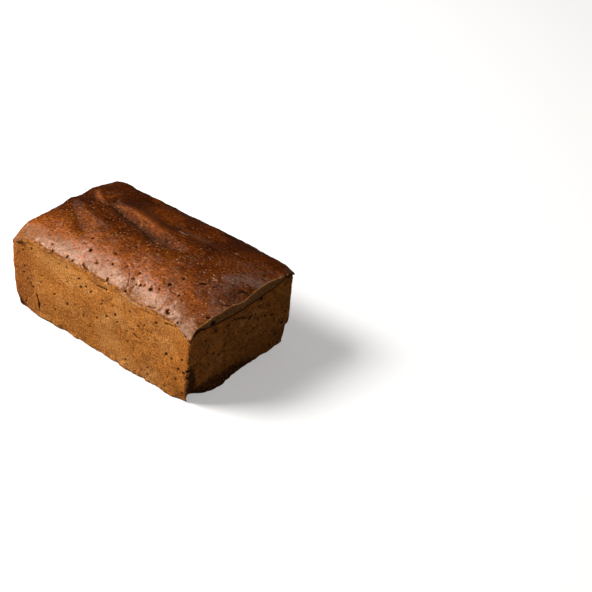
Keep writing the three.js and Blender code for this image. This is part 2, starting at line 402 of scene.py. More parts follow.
    def plan(self, x: Array, y: Array) -> Outline:
        """Rounds the plan's square corners.

        Args:
            x, y: points of the square-cornered plan.

        Returns:
            The same points on the rounded plan.
        """
        straight_x = self.half_length - self.corner_radius
        straight_y = self.half_width - self.corner_radius
        past_x = np.maximum(np.abs(x) - straight_x, 0)
        past_y = np.maximum(np.abs(y) - straight_y, 0)
        long = np.hypot(past_x, past_y)
        squeeze = np.where(long > 0, np.maximum(past_x, past_y) / np.maximum(long, 1e-9), 1.0)
        px = np.where(past_x > 0, straight_x + past_x * squeeze, np.abs(x))
        py = np.where(past_y > 0, straight_y + past_y * squeeze, np.abs(y))
        in_corner = (past_x > 0) & (past_y > 0)
        gap_x, gap_y = self.half_length - px, self.half_width - py
        out_x = np.where(in_corner, past_x / np.maximum(long, 1e-9), np.where(gap_x < gap_y, 1.0, 0.0))
        out_y = np.where(in_corner, past_y / np.maximum(long, 1e-9), np.where(gap_x < gap_y, 0.0, 1.0))
        sign_x, sign_y = np.where(x < 0, -1.0, 1.0), np.where(y < 0, -1.0, 1.0)
        inward = np.where(in_corner, self.corner_radius - long * squeeze, np.minimum(gap_x, gap_y))
        return Outline(sign_x * px, sign_y * py, sign_x * out_x, sign_y * out_y, inward)

    def rim_height(self, x: Array, y: Array) -> Array:
        """Height of the rim, carried on smoothly between the four sides.

        Args:
            x, y: points of the plan, in millimetres.

        Returns:
            A height for each point.
        """
        u = np.clip((x / self.half_length + 1) / 2, 0, 1)
        v = np.clip((y / self.half_width + 1) / 2, 0, 1)
        front = arch(u, self.front_left, self.middle_front, self.front_right)
        back = arch(u, self.back_left, self.middle_back, self.back_right)
        left = arch(v, self.front_left, self.middle_left, self.back_left)
        right = arch(v, self.front_right, self.middle_right, self.back_right)
        corners = (1 - v) * ((1 - u) * self.front_left + u * self.front_right)
        corners = corners + v * ((1 - u) * self.back_left + u * self.back_right)
        height = (1 - v) * front + v * back + (1 - u) * left + u * right - corners
        for dip in self.dips:
            along_x = bell(x - dip.side[0] * self.half_length, dip.reach[0])
            height = height - dip.depth * along_x * bell(y - dip.side[1] * self.half_width, dip.reach[1])
        for mark in self.marks:
            on_end = mark.side[0] != 0
            inward = self.half_length - mark.side[0] * x if on_end else self.half_width - mark.side[1] * y
            along = (y if on_end else x) - mark.at
            height = height + mark.lift * bell(along, mark.width) * bell(inward, self.rim_mark_reach)
        edge = bell(self.from_rim(x, y), self.rim_crumb_reach)
        return height + self.rim_lumps.at(x, y, 0) + edge * self.rim_crumbs.at(x, y, 0)

    def from_rim(self, x: Array, y: Array) -> Array:
        """How far some points lie inside the square-cornered plan's edge."""
        return np.minimum(self.half_length - np.abs(x), self.half_width - np.abs(y))

    def fold_relief(self, x: Array, y: Array) -> Array:
        """The folds alone, without the unevenness."""
        return sum(fold.at(x, y) for fold in self.folds)

    def fold_shade(self, x: Array, y: Array) -> Array:
        """How much darker (negative) or lighter the folds are drawn: darker crust and painted shade in the
        valleys, painted light on the ridges.
        """
        return sum(fold.shade * fold.at(x, y) for fold in self.folds)

    def fold_rise(self, x: Array, y: Array) -> Array:
        """How steeply the folds rise towards the back."""
        return self.fold_relief(x, y + 0.5) - self.fold_relief(x, y - 0.5)

    def crust_height(self, x: Array, y: Array) -> Array:
        """Height of the crust: the rim, the crown, the rounded shoulder, the folds and the unevenness.

        Args:
            x, y: points of the plan, in millimetres.

        Returns:
            A height for each point.
        """
        u = np.minimum(np.abs(x) / self.half_length, 1)
        v = np.minimum(np.abs(y) / self.half_width, 1)
        crown = self.crown * (1 - u ** self.crown_powers[0]) * (1 - v ** self.crown_powers[1])
        shoulder = (
            self.shoulder
            * quarter_round(y + self.half_width, self.shoulder_front)
            * quarter_round(self.half_width - y, self.shoulder_back)
            * quarter_round(x + self.half_length, self.shoulder_left)
            * ease_out(self.half_length - x, self.shoulder_right)
        )
        relief = self.fold_relief(x, y) + self.top_wrinkles.at(x, y, 0)
        level = self.top_lump_level
        relief = relief + self.top_lumps.at(x, y, level) + self.top_ripples.at(x, y, level)
        kept = np.clip(self.from_rim(x, y) / self.fold_margin, 0, 1)
        return self.rim_height(x, y) + crown + shoulder + relief * kept

    def flare(self, place: Outline) -> tuple[Array, Array]:
        """How far the tin's flare moves points of the plan along X and Y, for each millimetre of height.

        Args:
            place: points on the plan's outline or inside it.

        Returns:
            The two moves of each point.
        """
        u, v = (place.x / self.half_length + 1) / 2, (place.y / self.half_width + 1) / 2
        along_x = u * self.lean_right - (1 - u) * self.lean_left
        along_y = v * self.lean_back - (1 - v) * self.lean_front
        return along_x, along_y

    def lip(self, place: Outline, rim: Array) -> Lip:
        """The crust's lip, which hangs down to a seam on the right end and is thin on the other sides.

        Args:
            place: points on the plan.
            rim: the rim's height above each.

        Returns:
            The lip's sizes at each point.
        """
        left = np.clip(-place.nx, 0, 1) ** 2
        side = place.ny**2
        growth = smooth((place.y - self.lip_start) / self.lip_growth)
        seam = arch((place.y / self.half_width + 1) / 2, self.seam_front, self.seam_middle, self.seam_back)
        flat, full, far, beside = self.end_lip_flat, self.end_lip, self.far_lip, self.side_lip
        proud = flat.proud + (full.proud - flat.proud) * growth
        notch = flat.notch + (full.notch - flat.notch) * growth
        return Lip(
            thickness=place.right * np.maximum(rim - seam, full.thick)
            + left * far.thick + side * beside.thick,
            proud=place.right * proud + left * far.proud + side * beside.proud,
            notch=place.right * notch + left * far.notch + side * beside.notch,
        )

    def foot_offset(self, place: Outline, z: Array) -> Array:
        """The rounded, crumbling bottom edge, with its chips, its step and the right end's swelling.

        Args:
            place: the wall's points on the plan's outline.
            z: their heights.

        Returns:
            The outward offset of each point, negative where it lies further in.
        """
        t = 1 - np.clip(z / self.foot_radius, 0, 1)
        offset = -self.foot_radius * (1 - np.sqrt(1 - t * t))
        low = bell(z, self.foot_height)
        offset = offset + low * self.foot_crumble.at(place.x, place.y, z)
        offset = offset + bell(z, self.foot_crumb_height) * self.foot_crumbs.at(place.x, place.y, z)
        swelling = self.swelling_proud * bell(place.y - self.swelling_at, self.swelling_width)
        offset = offset + place.right * low * swelling
        offset = offset - self.step.missing(place) * smooth((self.step_height - z) / self.step_edge + 0.5)
        for chip in self.chips:
            offset = offset - chip.missing(place) * bell(z, self.chip_height)
        return offset

    def wall_offset(self, place: Outline, z: Array, rim: Array) -> Array:
        """How far the wall stands out of the base's plan.

        Args:
            place: the wall's points on the plan's outline.
            z: their heights.
            rim: the rim's height above each.

        Returns:
            The outward offset of each point.
        """
        lip = self.lip(place, rim)
        t = np.clip(z / rim, 0, 1)
        below = (rim - z) / lip.thickness
        rolled = 1 - self.lip_roll * np.clip(1 - below / self.lip_roll_reach, 0, 1) ** 2
        hangs = fall(below, self.lip_reach, self.lip_edge)
        under = bell((below - self.notch_place) * lip.thickness, self.notch_width)
        offset = self.wall_belly * 4 * t * (1 - t)
        for lumps in (self.wall_lumps, self.wall_ripples, self.wall_crumbs):
            offset = offset + lumps.at(place.x, place.y, z)
        offset = offset + lip.proud * hangs * rolled - lip.notch * under + self.foot_offset(place, z)
        for tear in self.tears:
            offset = offset + place.right * tear.at(place.y, z)
        return offset


def arc_path(centre: Pair, radius: float, start: float, sweep: float) -> Path:
    """The corners of an arc, for a crescent or a ring.

    Args:
        centre: the middle of the arc.
        radius: its radius.
        start: the angle where it starts, in degrees.
        sweep: how far it turns, in degrees.

    Returns:
        A path of short steps.
    """
    count = max(3, round(abs(sweep) / 30))
    angles = [math.radians(start + sweep * k / count) for k in range(count + 1)]
    return tuple((centre[0] + radius * math.cos(a), centre[1] + radius * math.sin(a)) for a in angles)


@dataclass(frozen=True)
class Pore:
    """A hole of the crust or crumb, round or stretched along a direction of its side."""

    side: Side
    at: Pair
    radius: float
    depth: float
    stretch: float = 1.0
    turn: float = 0.0
    hole_end: float = 1.05
    hole_edge: float = 0.55
    # Where the hole's painted shade ends, and how soft its edge is.
    dark_end: float = 1.1
    dark_edge: float = 0.35
    brim: float = 0.12
    brim_place: float = 1.3
    brim_width: float = 0.22

    def distance(self, a: Array, b: Array) -> Array:
        """Distance of a side's points from the pore's middle, where 1 is its edge.

        Args:
            a, b: places on the side.

        Returns:
            A distance for each place.
        """
        angle = math.radians(self.turn)
        u = (a - self.at[0]) * math.cos(angle) + (b - self.at[1]) * math.sin(angle)
        v = (b - self.at[1]) * math.cos(angle) - (a - self.at[0]) * math.sin(angle)
        return np.hypot(u / (self.radius * self.stretch), v / self.radius)

    def push(self, a: Array, b: Array) -> tuple[Array, Array]:
        """How far the pore pushes the surface in, and how much painted shade darkens it.

        Args:
            a, b: places on the side.

        Returns:
            The push in millimetres, and the painted shade from 0 to 1.
        """
        d = self.distance(a, b)
        raised = bell(d - self.brim_place, self.brim_width) * self.brim * min(1.0, self.radius)
        hole = self.depth * fall(d, self.hole_end, self.hole_edge)
        return hole - raised, fall(d, self.dark_end, self.dark_edge)

    def near(self, a: Array, b: Array) -> Array:
        """Distance in millimetres from the pore's edge, about 0 inside it."""
        return np.maximum(self.distance(a, b) - 1, 0) * self.radius


@dataclass(frozen=True)
class Crack:
    """A narrow groove along a path on a side."""

    side: Side
    path: Path
    width: float
    depth: float
    # How strongly painted shade darkens the groove.
    dark: float = 1.0
    taper: float = 0.25
    tip_share: float = 0.35
    hole_end: float = 1.1
    hole_edge: float = 0.8
    dark_end: float = 1.15
    dark_edge: float = 0.6

    def push(self, a: Array, b: Array) -> tuple[Array, Array]:
        """How far the crack pushes the surface in, and how much painted shade darkens it.

        Args:
            a, b: places on the side.

        Returns:
            The push in millimetres, and the painted shade from 0 to 1.
        """
        distance, place = near_path(a, b, self.path)
        ends = self.tip_share + (1 - self.tip_share) * smooth(np.minimum(place, 1 - place) / self.taper)
        d = distance / (self.width * ends)
        dark = self.dark * fall(d, self.dark_end, self.dark_edge)
        return self.depth * ends * fall(d, self.hole_end, self.hole_edge), dark

    def near(self, a: Array, b: Array) -> Array:
        """Distance in millimetres from the crack's edge, 0 inside it."""
        return np.maximum(near_path(a, b, self.path)[0] - self.width, 0)


Feature = Pore | Crack


@dataclass(frozen=True)
class Stain:
    """A soft-edged patch of a side: its middle, its reach both ways and its strength."""

    side: Side
    at: Pair
    reach: Pair
    strength: float
    end: float = 1.5
    edge: float = 0.9

    def over(self, a: Array, b: Array) -> Array:
        """The patch's strength at some places of its side."""
        u, v = (a - self.at[0]) / self.reach[0], (b - self.at[1]) / self.reach[1]
        return self.strength * fall(np.hypot(u, v), self.end, self.edge)


@dataclass(frozen=True)
class Scatter:
    """How many small pores a side has, and between which heights where it is a wall."""

    side: Side
    count: int
    low: float
    high: float


@dataclass
class CrumbDetail:
    """The pores and cracks of the loaf: the large ones one by one, and a seeded scatter of small ones."""

    seed: int = 7
    scatter: tuple[Scatter, ...] = (
        Scatter(Side.TOP, 60, 0, 0),
        Scatter(Side.FRONT, 105, 3, 58),
        Scatter(Side.BACK, 90, 3, 54),
        Scatter(Side.LEFT, 55, 3, 55),
        Scatter(Side.RIGHT, 90, 3, 47),
    )
    scatter_margin: float = 3.0
    smallest: float = 0.32
    size_range: float = 0.28
    size_power: float = 2.5
    depth_share: float = 1.3
    stretches: tuple[float, ...] = (1.0, 1.0, 1.4, 1.9)
    steepest: float = 40.0
    stains_and_shade: tuple[Stain, ...] = (
        Stain(Side.FRONT, (-76, 56.2), (6.5, 2.1), 1.3),
        Stain(Side.FRONT, (83, 9), (2.6, 16), 0.6),
        Stain(Side.FRONT, (-76, 3.5), (4.5, 3.0), 0.75),
        Stain(Side.RIGHT, (-48, 11), (7, 22), 1.0),
        # Painted shade: the right end darkens towards its foot, where it meets the floor.
        Stain(Side.RIGHT, (-20, -2), (42, 15), 0.85),
        Stain(Side.RIGHT, (-31, 60.5), (2.4, 2.0), 1.2),
        # Painted shade under the lip's edge beside the front corner.
        Stain(Side.RIGHT, (-44, 59), (7, 2.6), 0.9),
        Stain(Side.RIGHT, (48, 12), (3, 14), 0.7),
        Stain(Side.RIGHT, (47, 61), (4, 4), 1.0),
        Stain(Side.TOP, (80, 45), (5, 5), 1.0),
    )
    tints_and_sheen: tuple[Stain, ...] = (
        Stain(Side.FRONT, (-28, 51), (30, 8), 0.75),
        Stain(Side.FRONT, (-45, 56), (20, 4), 0.4),
        Stain(Side.FRONT, (-30, 30), (16, 9), 0.3),
        Stain(Side.FRONT, (64, 40), (7, 6), 0.6),
        Stain(Side.FRONT, (58, 51), (17, 5), -0.55),
        Stain(Side.FRONT, (-73, 30), (11, 30), -0.75),
        Stain(Side.FRONT, (-12, 28), (5, 4), -0.7),
        Stain(Side.FRONT, (9, 23), (15, 5), -0.4),
        Stain(Side.FRONT, (52, 20), (16, 8), -0.3),
        # These three patches on the top paint sheen on the front corner's tongue and along the front rim.
        Stain(Side.TOP, (77, -46.5), (7, 4), 0.55),
        Stain(Side.TOP, (72, -49), (10, 2.5), 0.6),
        Stain(Side.TOP, (66, -44.5), (7, 4), 0.2),
        Stain(Side.FRONT, (30, 59.5), (10, 3.5), 0.9),
        Stain(Side.TOP, (-62, 24), (5, 6), -0.65),
        # These three patches on the top paint small highlights on flakes of the crust.
        Stain(Side.TOP, (7.5, 20.6), (4.2, 0.9), 0.7),
        Stain(Side.TOP, (59.7, -5.6), (2.2, 0.8), 0.8),
        Stain(Side.TOP, (49.2, 26.4), (2.0, 0.8), 0.7),
        # Painted sheen where the front corner's tongue rounds onto the front wall.
        Stain(Side.FRONT, (78, 60), (5, 3), 0.8),
        Stain(Side.RIGHT, (9, 43), (14, 4), 0.7),
        Stain(Side.RIGHT, (-22, 22), (12, 8), 0.35),
        Stain(Side.RIGHT, (22, 26), (10, 8), 0.35),
        Stain(Side.RIGHT, (-38, 40), (6, 9), -0.4),
    )

    def top(self) -> list[Feature]:
        """The top crust's own pores, crescents and hairline cracks, at (x, y).

        Returns:
            The features.
        """
        side = Side.TOP
        rounds = (
            (-20.1, -34.8, 1.22), (-8.5, -40.9, 0.77), (0.8, -35.9, 0.64), (20.9, -32.2, 0.96),
            (36.1, -37.8, 1.15), (28.3, -38.8, 0.64), (30.5, -37.5, 0.64), (-61.1, 5.6, 0.96),
            (-55.3, 0.9, 0.96), (53.1, 25.3, 0.77), (67.5, -47.2, 0.77), (50.8, -6.7, 0.64),
            (22.9, -46.6, 0.77), (-24.7, -47.2, 0.64), (-29.8, -46.7, 0.64), (-45.6, -43.9, 0.51),
            (9.9, -31.8, 0.64), (40.8, -34.8, 0.64), (0.2, -13.9, 0.64), (84.3, -33.4, 1.35),
            (-27.4, -25.8, 1.09),
        )
        return [Pore(side, (a, b), radius, 1.3) for a, b, radius in rounds] + [
            Pore(side, (-4.5, -28.0), 0.85, 1.2, 1.7, 50),
            Pore(side, (43.1, -28.2), 1.15, 1.5, 1.35, 45),
            Pore(side, (46.3, -19.0), 0.95, 1.3, 1.7, 45),
            Pore(side, (-41.7, -47.6), 0.45, 0.8, 1.9, 0),
            Crack(side, ((56.4, -16.2), (58.0, -13.8), (60.6, -11.4)), 0.75, 1.3),
            Crack(side, ((-16.8, -43.8), (-16.6, -45.8), (-14.2, -47), (-11.2, -47.6), (-9, -47.8)),
                  0.45, 0.9),
            Crack(side, ((6.0, -45.0), (6.4, -46.6), (6.9, -47.8)), 0.6, 1.0),
            Crack(side, ((47.1, -32.4), (50.4, -32.2), (53, -31.8)), 0.45, 0.5, 0.6),
            Pore(side, (54.3, -31.6), 0.75, 1.2, 1.4, 20),
            Crack(side, ((56.6, -42.6), (56.0, -44.3), (57.8, -45.8)), 0.6, 1.1),
            Pore(side, (57.9, -45.2), 0.7, 1.3),
            Crack(side, ((12.2, -32.3), (17.3, -37.9), (20.6, -42.1), (21.8, -45.0), (19.7, -46.9)),
                  0.30, 0.05, 0.8),
            Crack(side, arc_path((26.6, -43.7), 1.7, 100, 200), 0.38, 0.4, 0.4),
            Crack(side, ((42.4, -47.6), (45.5, -47.2), (49.0, -46.4)), 0.4, 0.4, 0.5),
            Crack(side, ((74.9, -1.3), (76, 1.1), (78.5, 3), (81.3, 3.6), (81.2, 1.1)), 0.85, 0.6, 1.0),
            Crack(side, ((74.1, -17), (77.3, -16.9), (80.6, -14.1), (82.3, -14)), 0.9, 0.6, 1.0),
            Crack(side, ((78.1, -33.9), (80.2, -32.5), (81.8, -33.4)), 0.85, 0.7, 1.0),
        ]

    def front(self) -> list[Feature]:
        """The front wall's own pits and cracks, at (x, z).

        Returns:
            The features.
        """
        side = Side.FRONT
        rounds = (
            (-29.2, 56.7, 0.85), (-10.3, 50.5, 0.98), (-15.2, 48, 0.73), (-29.2, 27, 1.1), (9, 36.5, 1.04),
            (17.6, 41.7, 1.22), (30.8, 50.9, 0.85), (-0.7, 29.8, 0.73), (-7.8, 18.7, 0.98),
            (27.7, 33.7, 0.73), (54.6, 54.1, 1.04), (39, 43.7, 0.73), (44.5, 46.5, 0.73),
            (-14.3, 24.5, 0.73), (-21.8, 29.9, 0.61), (5.6, 47, 0.61), (64.3, 34.1, 1.1),
            (68.8, 32.4, 0.85), (75.1, 27.6, 1.22), (79.5, 26.7, 1.16), (72.3, 17.9, 0.92), (61.4, 6, 0.73),
            (45.7, 6.7, 0.73), (77.8, 36.4, 0.85), (83.1, 36, 0.85), (82.2, 29, 1.1), (81.8, 23, 1.22),
            (83.1, 18, 1.22), (81.3, 12.9, 1.1), (76.8, 7.9, 0.85), (-63.4, 55.7, 0.85),
            (-71.6, 50.9, 0.73), (-71.9, 32.5, 0.73), (-65.3, 26.5, 0.85), (-71.6, 8.1, 0.85),
            (-63.4, 24.1, 0.73), (-4.7, 49.2, 0.73), (50.8, 44.1, 0.61), (25.2, 8.3, 0.73),
            (53.4, 34.1, 0.61), (-68.2, 28.4, 0.61), (-53.6, 38.1, 0.73), (-77.9, 6, 0.98),
        )
        return [Pore(side, (a, b), radius, 1.2) for a, b, radius in rounds] + [
            Crack(side, ((-60.8, 21.4), (-59.8, 18.3), (-58.6, 13.8), (-58.3, 10.6), (-59, 6)), 0.7, 1.4),
            Pore(side, (-60, 18.5), 0.95, 1.4, 1.3, 80),
            Pore(side, (-58.4, 10.8), 0.75, 1.3, 1.3, 80),
            Crack(side, ((0.3, 56.5), (4.1, 56.8), (8.8, 57.5)), 0.6, 1.0),
            Pore(side, (8.6, 57.3), 0.85, 1.3, 1.3, 10),
            Crack(side, ((33.5, 35.0), (38, 33.5)), 0.9, 0.8),
            Pore(side, (40.5, 7.8), 0.75, 1.2, 1.8, -20),
            Crack(side, ((60.9, 56.6), (65.4, 58), (69.8, 58.2)), 0.65, 0.6, 0.7),
            Crack(side, ((-10.1, 56.7), (-7.2, 57.7), (-2.5, 57.6)), 0.45, 0.5, 0.5),
        ]

    def right(self) -> list[Feature]:
        """The right end's own pits and tears, at (y, z).

        Returns:
            The features.
        """
        side = Side.RIGHT
        rounds = (
            (18.5, 53.7, 1.35), (16.7, 48.8, 1.16), (11.9, 32.3, 1.01), (-26, 50.8, 1.23),
            (-35, 47.5, 0.87), (-26.9, 32.4, 1.16), (-21.8, 29.1, 1.01), (-28.4, 10.6, 1.16),
            (1.4, 21.3, 0.87), (32.3, 5.9, 1.16), (41.3, 21.9, 1.3), (36.3, 14.2, 1.16), (40.1, 8.6, 0.87),
            (44.3, 29.9, 1.01), (-46, 57, 1.16), (-8.4, 38.7, 0.87), (-15, 20.2, 0.72), (-2.8, 48.3, 1.01),
            (-6.8, 50, 0.87), (16.1, 38.1, 0.87),
        )
        return [Pore(side, (a, b), radius, 0.85) for a, b, radius in rounds] + [
            Pore(side, (-31, 60.9), 1.25, 0.8, 1.3, 20),
            Pore(side, (40.5, 62.2), 0.9, 0.6, 1.6, 60),
            Pore(side, (8.5, 43.9), 0.95, 0.7, 3.1, 46),
            Pore(side, (-13.9, 49.1), 0.85, 0.7, 2.6, 23),
            Crack(side, ((-13.8, 51.6), (-7.9, 50.2), (0.3, 47.1), (5.5, 43.8)), 0.65, 0.6, 0.85),
            Pore(side, (-16.1, 34.5), 0.8, 0.6, 2.8, 64),
            Crack(side, ((21.9, 38.8), (26.5, 34.2)), 0.65, 1.0, 0.8),
            Pore(side, (31.4, 32.8), 0.95, 0.9, 1.3, -50),
        ]

    def scattered(self, form: LoafForm) -> list[Feature]:
        """Small pores spread over every side but the base.

        Args:
            form: the loaf's sizes, for how far each side reaches.

        Returns:
            The pores, from the seed.
        """
        draw = random.Random(self.seed)
        long, wide = form.half_length - self.scatter_margin, form.half_width - self.scatter_margin
        pores: list[Feature] = []
        for patch in self.scatter:
            reach_a = wide if patch.side in (Side.LEFT, Side.RIGHT) else long
            low_b, high_b = (-wide, wide) if patch.side is Side.TOP else (patch.low, patch.high)
            for _ in range(patch.count):
                at = (draw.uniform(-reach_a, reach_a), draw.uniform(low_b, high_b))
                radius = self.smallest + self.size_range * draw.random() ** self.size_power
                stretch = draw.choice(self.stretches)
                turn = draw.uniform(-self.steepest, self.steepest)
                pores.append(Pore(patch.side, at, radius, radius * self.depth_share, stretch, turn))
        return pores

    def features(self, form: LoafForm) -> list[Feature]:
        """Every pore and crack of the loaf."""
        return self.top() + self.front() + self.right() + self.scattered(form)


@dataclass
class SurfacePoints:
    """The cage's vertices, their points on the plan, the rim's height above those, and their sides.

    The last two hold each vertex's place on its side: along it, and across or up it.
    """

    cage: Array
    place: Outline
    rim: Array
    side: Array
    a: Array
    b: Array

    @property
    def on_top(self) -> Array:
        """Which vertices are on the top crust."""
        return self.on(Side.TOP)

    def on(self, side: Side) -> Array:
        """Which vertices are on a side."""
        return self.side == side.value


@dataclass
class Loaf:
    """The whole loaf, one closed mesh with its crust, walls, pores and base."""

    form: LoafForm = field(default_factory=LoafForm)
    detail: CrumbDetail = field(default_factory=CrumbDetail)
    cage_height: float = 60.0
    cell: float = 1.15
    rim_band: float = 2.6
    lip_band: float = 12.0
    foot_band: float = 4.2
    fine_margin: float = 0.9
    finest_margin: float = 0.3
    pore_reach: float = 1.5
    pore_lean: float = 0.5
    pore_lean_reach: float = 12.0
    lip_covered: float = 1.1
    edge_covered: float = 0.3
    foot_scar_and_shade: float = 1.8
    face_reach: float = 1.08
    face_edge: float = 0.5
    # Where the painted highlight on the lip's upper edge and the painted shade of the seam under it lie.
    line_growth: float = 10.0
    seam_above: float = 2.4
    seam_edge: float = 0.8
    seam_below: float = 0.9
    highlight_line: float = 0.45
    on_plane: float = 1e-3
    map_side: float = 250.0
    map_gap: float = 4.0
    map_base: Pair = (0.98, 0.6)

    def cage(self) -> bmesh.types.BMesh:
        """A box of the base's plan, cut into cells, with one face for its base.

        Returns:
            The box, in millimetres, standing on z = 0.
        """
        bm = bmesh.new()
        bmesh.ops.create_cube(bm, size=1.0)
        sizes = (self.form.base_length, self.form.base_width, self.cage_height)
        for axis, length in enumerate(sizes):
            along = [e for e in bm.edges if abs(e.verts[0].co[axis] - e.verts[1].co[axis]) > 0.5]
            cuts = round(length / self.cell) - 1
            bmesh.ops.subdivide_edges(bm, edges=along, cuts=cuts, use_grid_fill=True)
        bmesh.ops.translate(bm, vec=(0, 0, 0.5), verts=bm.verts[:])
        bmesh.ops.scale(bm, vec=sizes, verts=bm.verts[:])
        base = [f for f in bm.faces if f.normal.z < -0.5]
        bmesh.ops.dissolve_faces(bm, faces=base, use_verts=False)
        return bm

    def points(self, cage: Array) -> SurfacePoints:
        """Finds each vertex's side and its places there.

        Args:
            cage: the vertices on the cage, in millimetres.

        Returns:
            The same vertices with their sides and places.
        """
        x, y, z = cage.T
        place = self.form.plan(x, y)
        rim = self.form.rim_height(place.x, place.y)
        height = z / self.cage_height * rim
        on_end = np.abs(place.nx) > np.abs(place.ny)
        side = np.where(on_end, np.where(x < 0, Side.LEFT.value, Side.RIGHT.value),
                        np.where(y < 0, Side.FRONT.value, Side.BACK.value))
        inner = self.form.from_rim(x, y) > self.on_plane
        side = np.where(inner & (z > 1), Side.TOP.value, side)
        on_top = side == Side.TOP.value
        flare_x, flare_y = self.form.flare(place)
        along = np.where(on_end, place.y + flare_y * height, place.x + flare_x * height)
        a = np.where(on_top, place.x, along)
        b = np.where(on_top, place.y, height)
        return SurfacePoints(cage, place, rim, side, a, b)

    def refine(self, bm: bmesh.types.BMesh, features: list[Feature], margin: float, bands: bool) -> None:
        """Halves the cells near the pores and cracks, and along the rim if asked.

        Args:
            bm: the cage.
            features: the pores and cracks.
            margin: how far round each feature the cells are halved.
            bands: whether the rim and the right end's lip are refined too.
        """
        cage = np.array([v.co for v in bm.verts])
        points = self.points(cage)
        wanted = np.zeros(len(cage), bool)
        for feature in features:
            on_side = np.flatnonzero(points.on(feature.side))
            near = feature.near(points.a[on_side], points.b[on_side]) < margin
            wanted[on_side[near]] = True
        if bands:
            x, y, z = cage.T
            on_top = z > self.cage_height - self.on_plane
            on_end = x > self.form.half_length - self.on_plane
            wanted |= on_top & (self.form.from_rim(x, y) < self.rim_band)
            wanted |= (z > self.cage_height - self.rim_band) & ~on_top
            wanted |= on_end & (z > self.cage_height - self.lip_band)
            wanted |= z < self.foot_band
        bm.verts.index_update()
        base = {e for f in bm.faces if f.normal.z < -0.5 for e in f.edges}
        edges = [e for e in bm.edges if all(wanted[v.index] for v in e.verts) and e not in base]
        bmesh.ops.subdivide_edges(bm, edges=edges, cuts=1, use_grid_fill=True)

    def surface(self, points: SurfacePoints) -> Array:
        """Moves the cage's vertices to the loaf's surface, before its pores.

        Args:
            points: the cage's vertices.

        Returns:
            Their places on the loaf, in millimetres.
        """
        form, place, on_top = self.form, points.place, points.on_top
        height = np.where(on_top, points.rim, points.b)
        offset = form.wall_offset(place, height, points.rim)
        out = offset * np.where(on_top, np.clip(1 - place.inward / form.top_reach, 0, 1) ** 2, 1.0)
        flare_x, flare_y = form.flare(place)
        x = place.x + place.nx * out + (flare_x * height + form.centring[0])
        y = place.y + place.ny * out + (flare_y * height + form.centring[1])
        return np.stack([x, y, np.where(on_top, form.crust_height(place.x, place.y), height)], axis=1)

    def inward_directions(self, points: SurfacePoints) -> Array:
        """The way a pore goes in at each vertex: down through the crust, level through a wall.

        Args:
            points: the cage's vertices.

        Returns:
            One direction for each vertex.
        """
        place = points.place
        inward = np.stack([-place.nx, -place.ny, np.zeros(len(place.x))], axis=1)
        lean = np.clip(1 - place.inward / self.pore_lean_reach, 0, 1) * self.pore_lean
        down = np.stack([-place.nx * lean, -place.ny * lean, -np.ones(len(place.x))], axis=1)
        down /= np.linalg.norm(down, axis=1, keepdims=True)
        return np.where(points.on_top[:, None], down, inward)

    def pushes(self, points: SurfacePoints, features: list[Feature]) -> tuple[Array, Array]:
        """Adds up what the pores and cracks do to each vertex.

        Args:
            points: the cage's vertices.
            features: the pores and cracks.

        Returns:
            How far each vertex goes in, and how much painted shade darkens it, from 0 to 1.
        """
        push = np.zeros(len(points.a))
        dark = np.zeros(len(points.a))
        for feature in features:
            on_side = np.flatnonzero(points.on(feature.side))
            close = on_side[feature.near(points.a[on_side], points.b[on_side]) < self.pore_reach]
            depth, shade = feature.push(points.a[close], points.b[close])
            push[close] = np.where(np.abs(depth) > np.abs(push[close]), depth, push[close])
            dark[close] = np.maximum(dark[close], shade)
        return push, dark

    def crust_distance(self, points: SurfacePoints) -> Array:
        """How many millimetres each vertex is above the lower edge of the crust, negative on the walls.

        Args:
            points: the cage's vertices.

        Returns:
            A distance for each vertex.
        """
        lip, right = self.form.lip(points.place, points.rim), points.place.right
        covered = right * lip.thickness * self.lip_covered + (1 - right) * self.edge_covered
        return np.where(points.on_top, points.place.inward + covered, covered - (points.rim - points.b))

    def scar_and_shade(self, points: SurfacePoints) -> Array:
        """How rough and dark the surface is: its stained patches, the foot where it tore from the tin,
        painted shade along the foot where it meets the floor, and painted shade low on the right end and
        under the lip beside the front corner.

        Args:
            points: the cage's vertices.

        Returns:
            A value from 0 to 1 for each vertex.
        """
        # Darker along the foot, where it tore from the tin and where painted shade meets the floor.
        dark = bell(np.where(points.on_top, self.cage_height, points.b), self.foot_scar_and_shade)
        for stain in self.detail.stains_and_shade:
            dark = np.maximum(dark, np.where(points.on(stain.side), stain.over(points.a, points.b), 0.0))
        return np.clip(dark, 0, 1)

    def tint_and_sheen(self, points: SurfacePoints) -> Array:
        """How much paler (positive) or browner (negative) its patches make the surface: the walls' own paler
        and redder patches, and painted sheen and highlights on the top crust.

        Args:
            points: the cage's vertices.

        Returns:
            A value from -1 to 1 for each vertex.
        """
        total = np.zeros(len(points.a))
        for patch in self.detail.tints_and_sheen:
            total += np.where(points.on(patch.side), patch.over(points.a, points.b), 0.0)
        return np.clip(total, -1, 1)

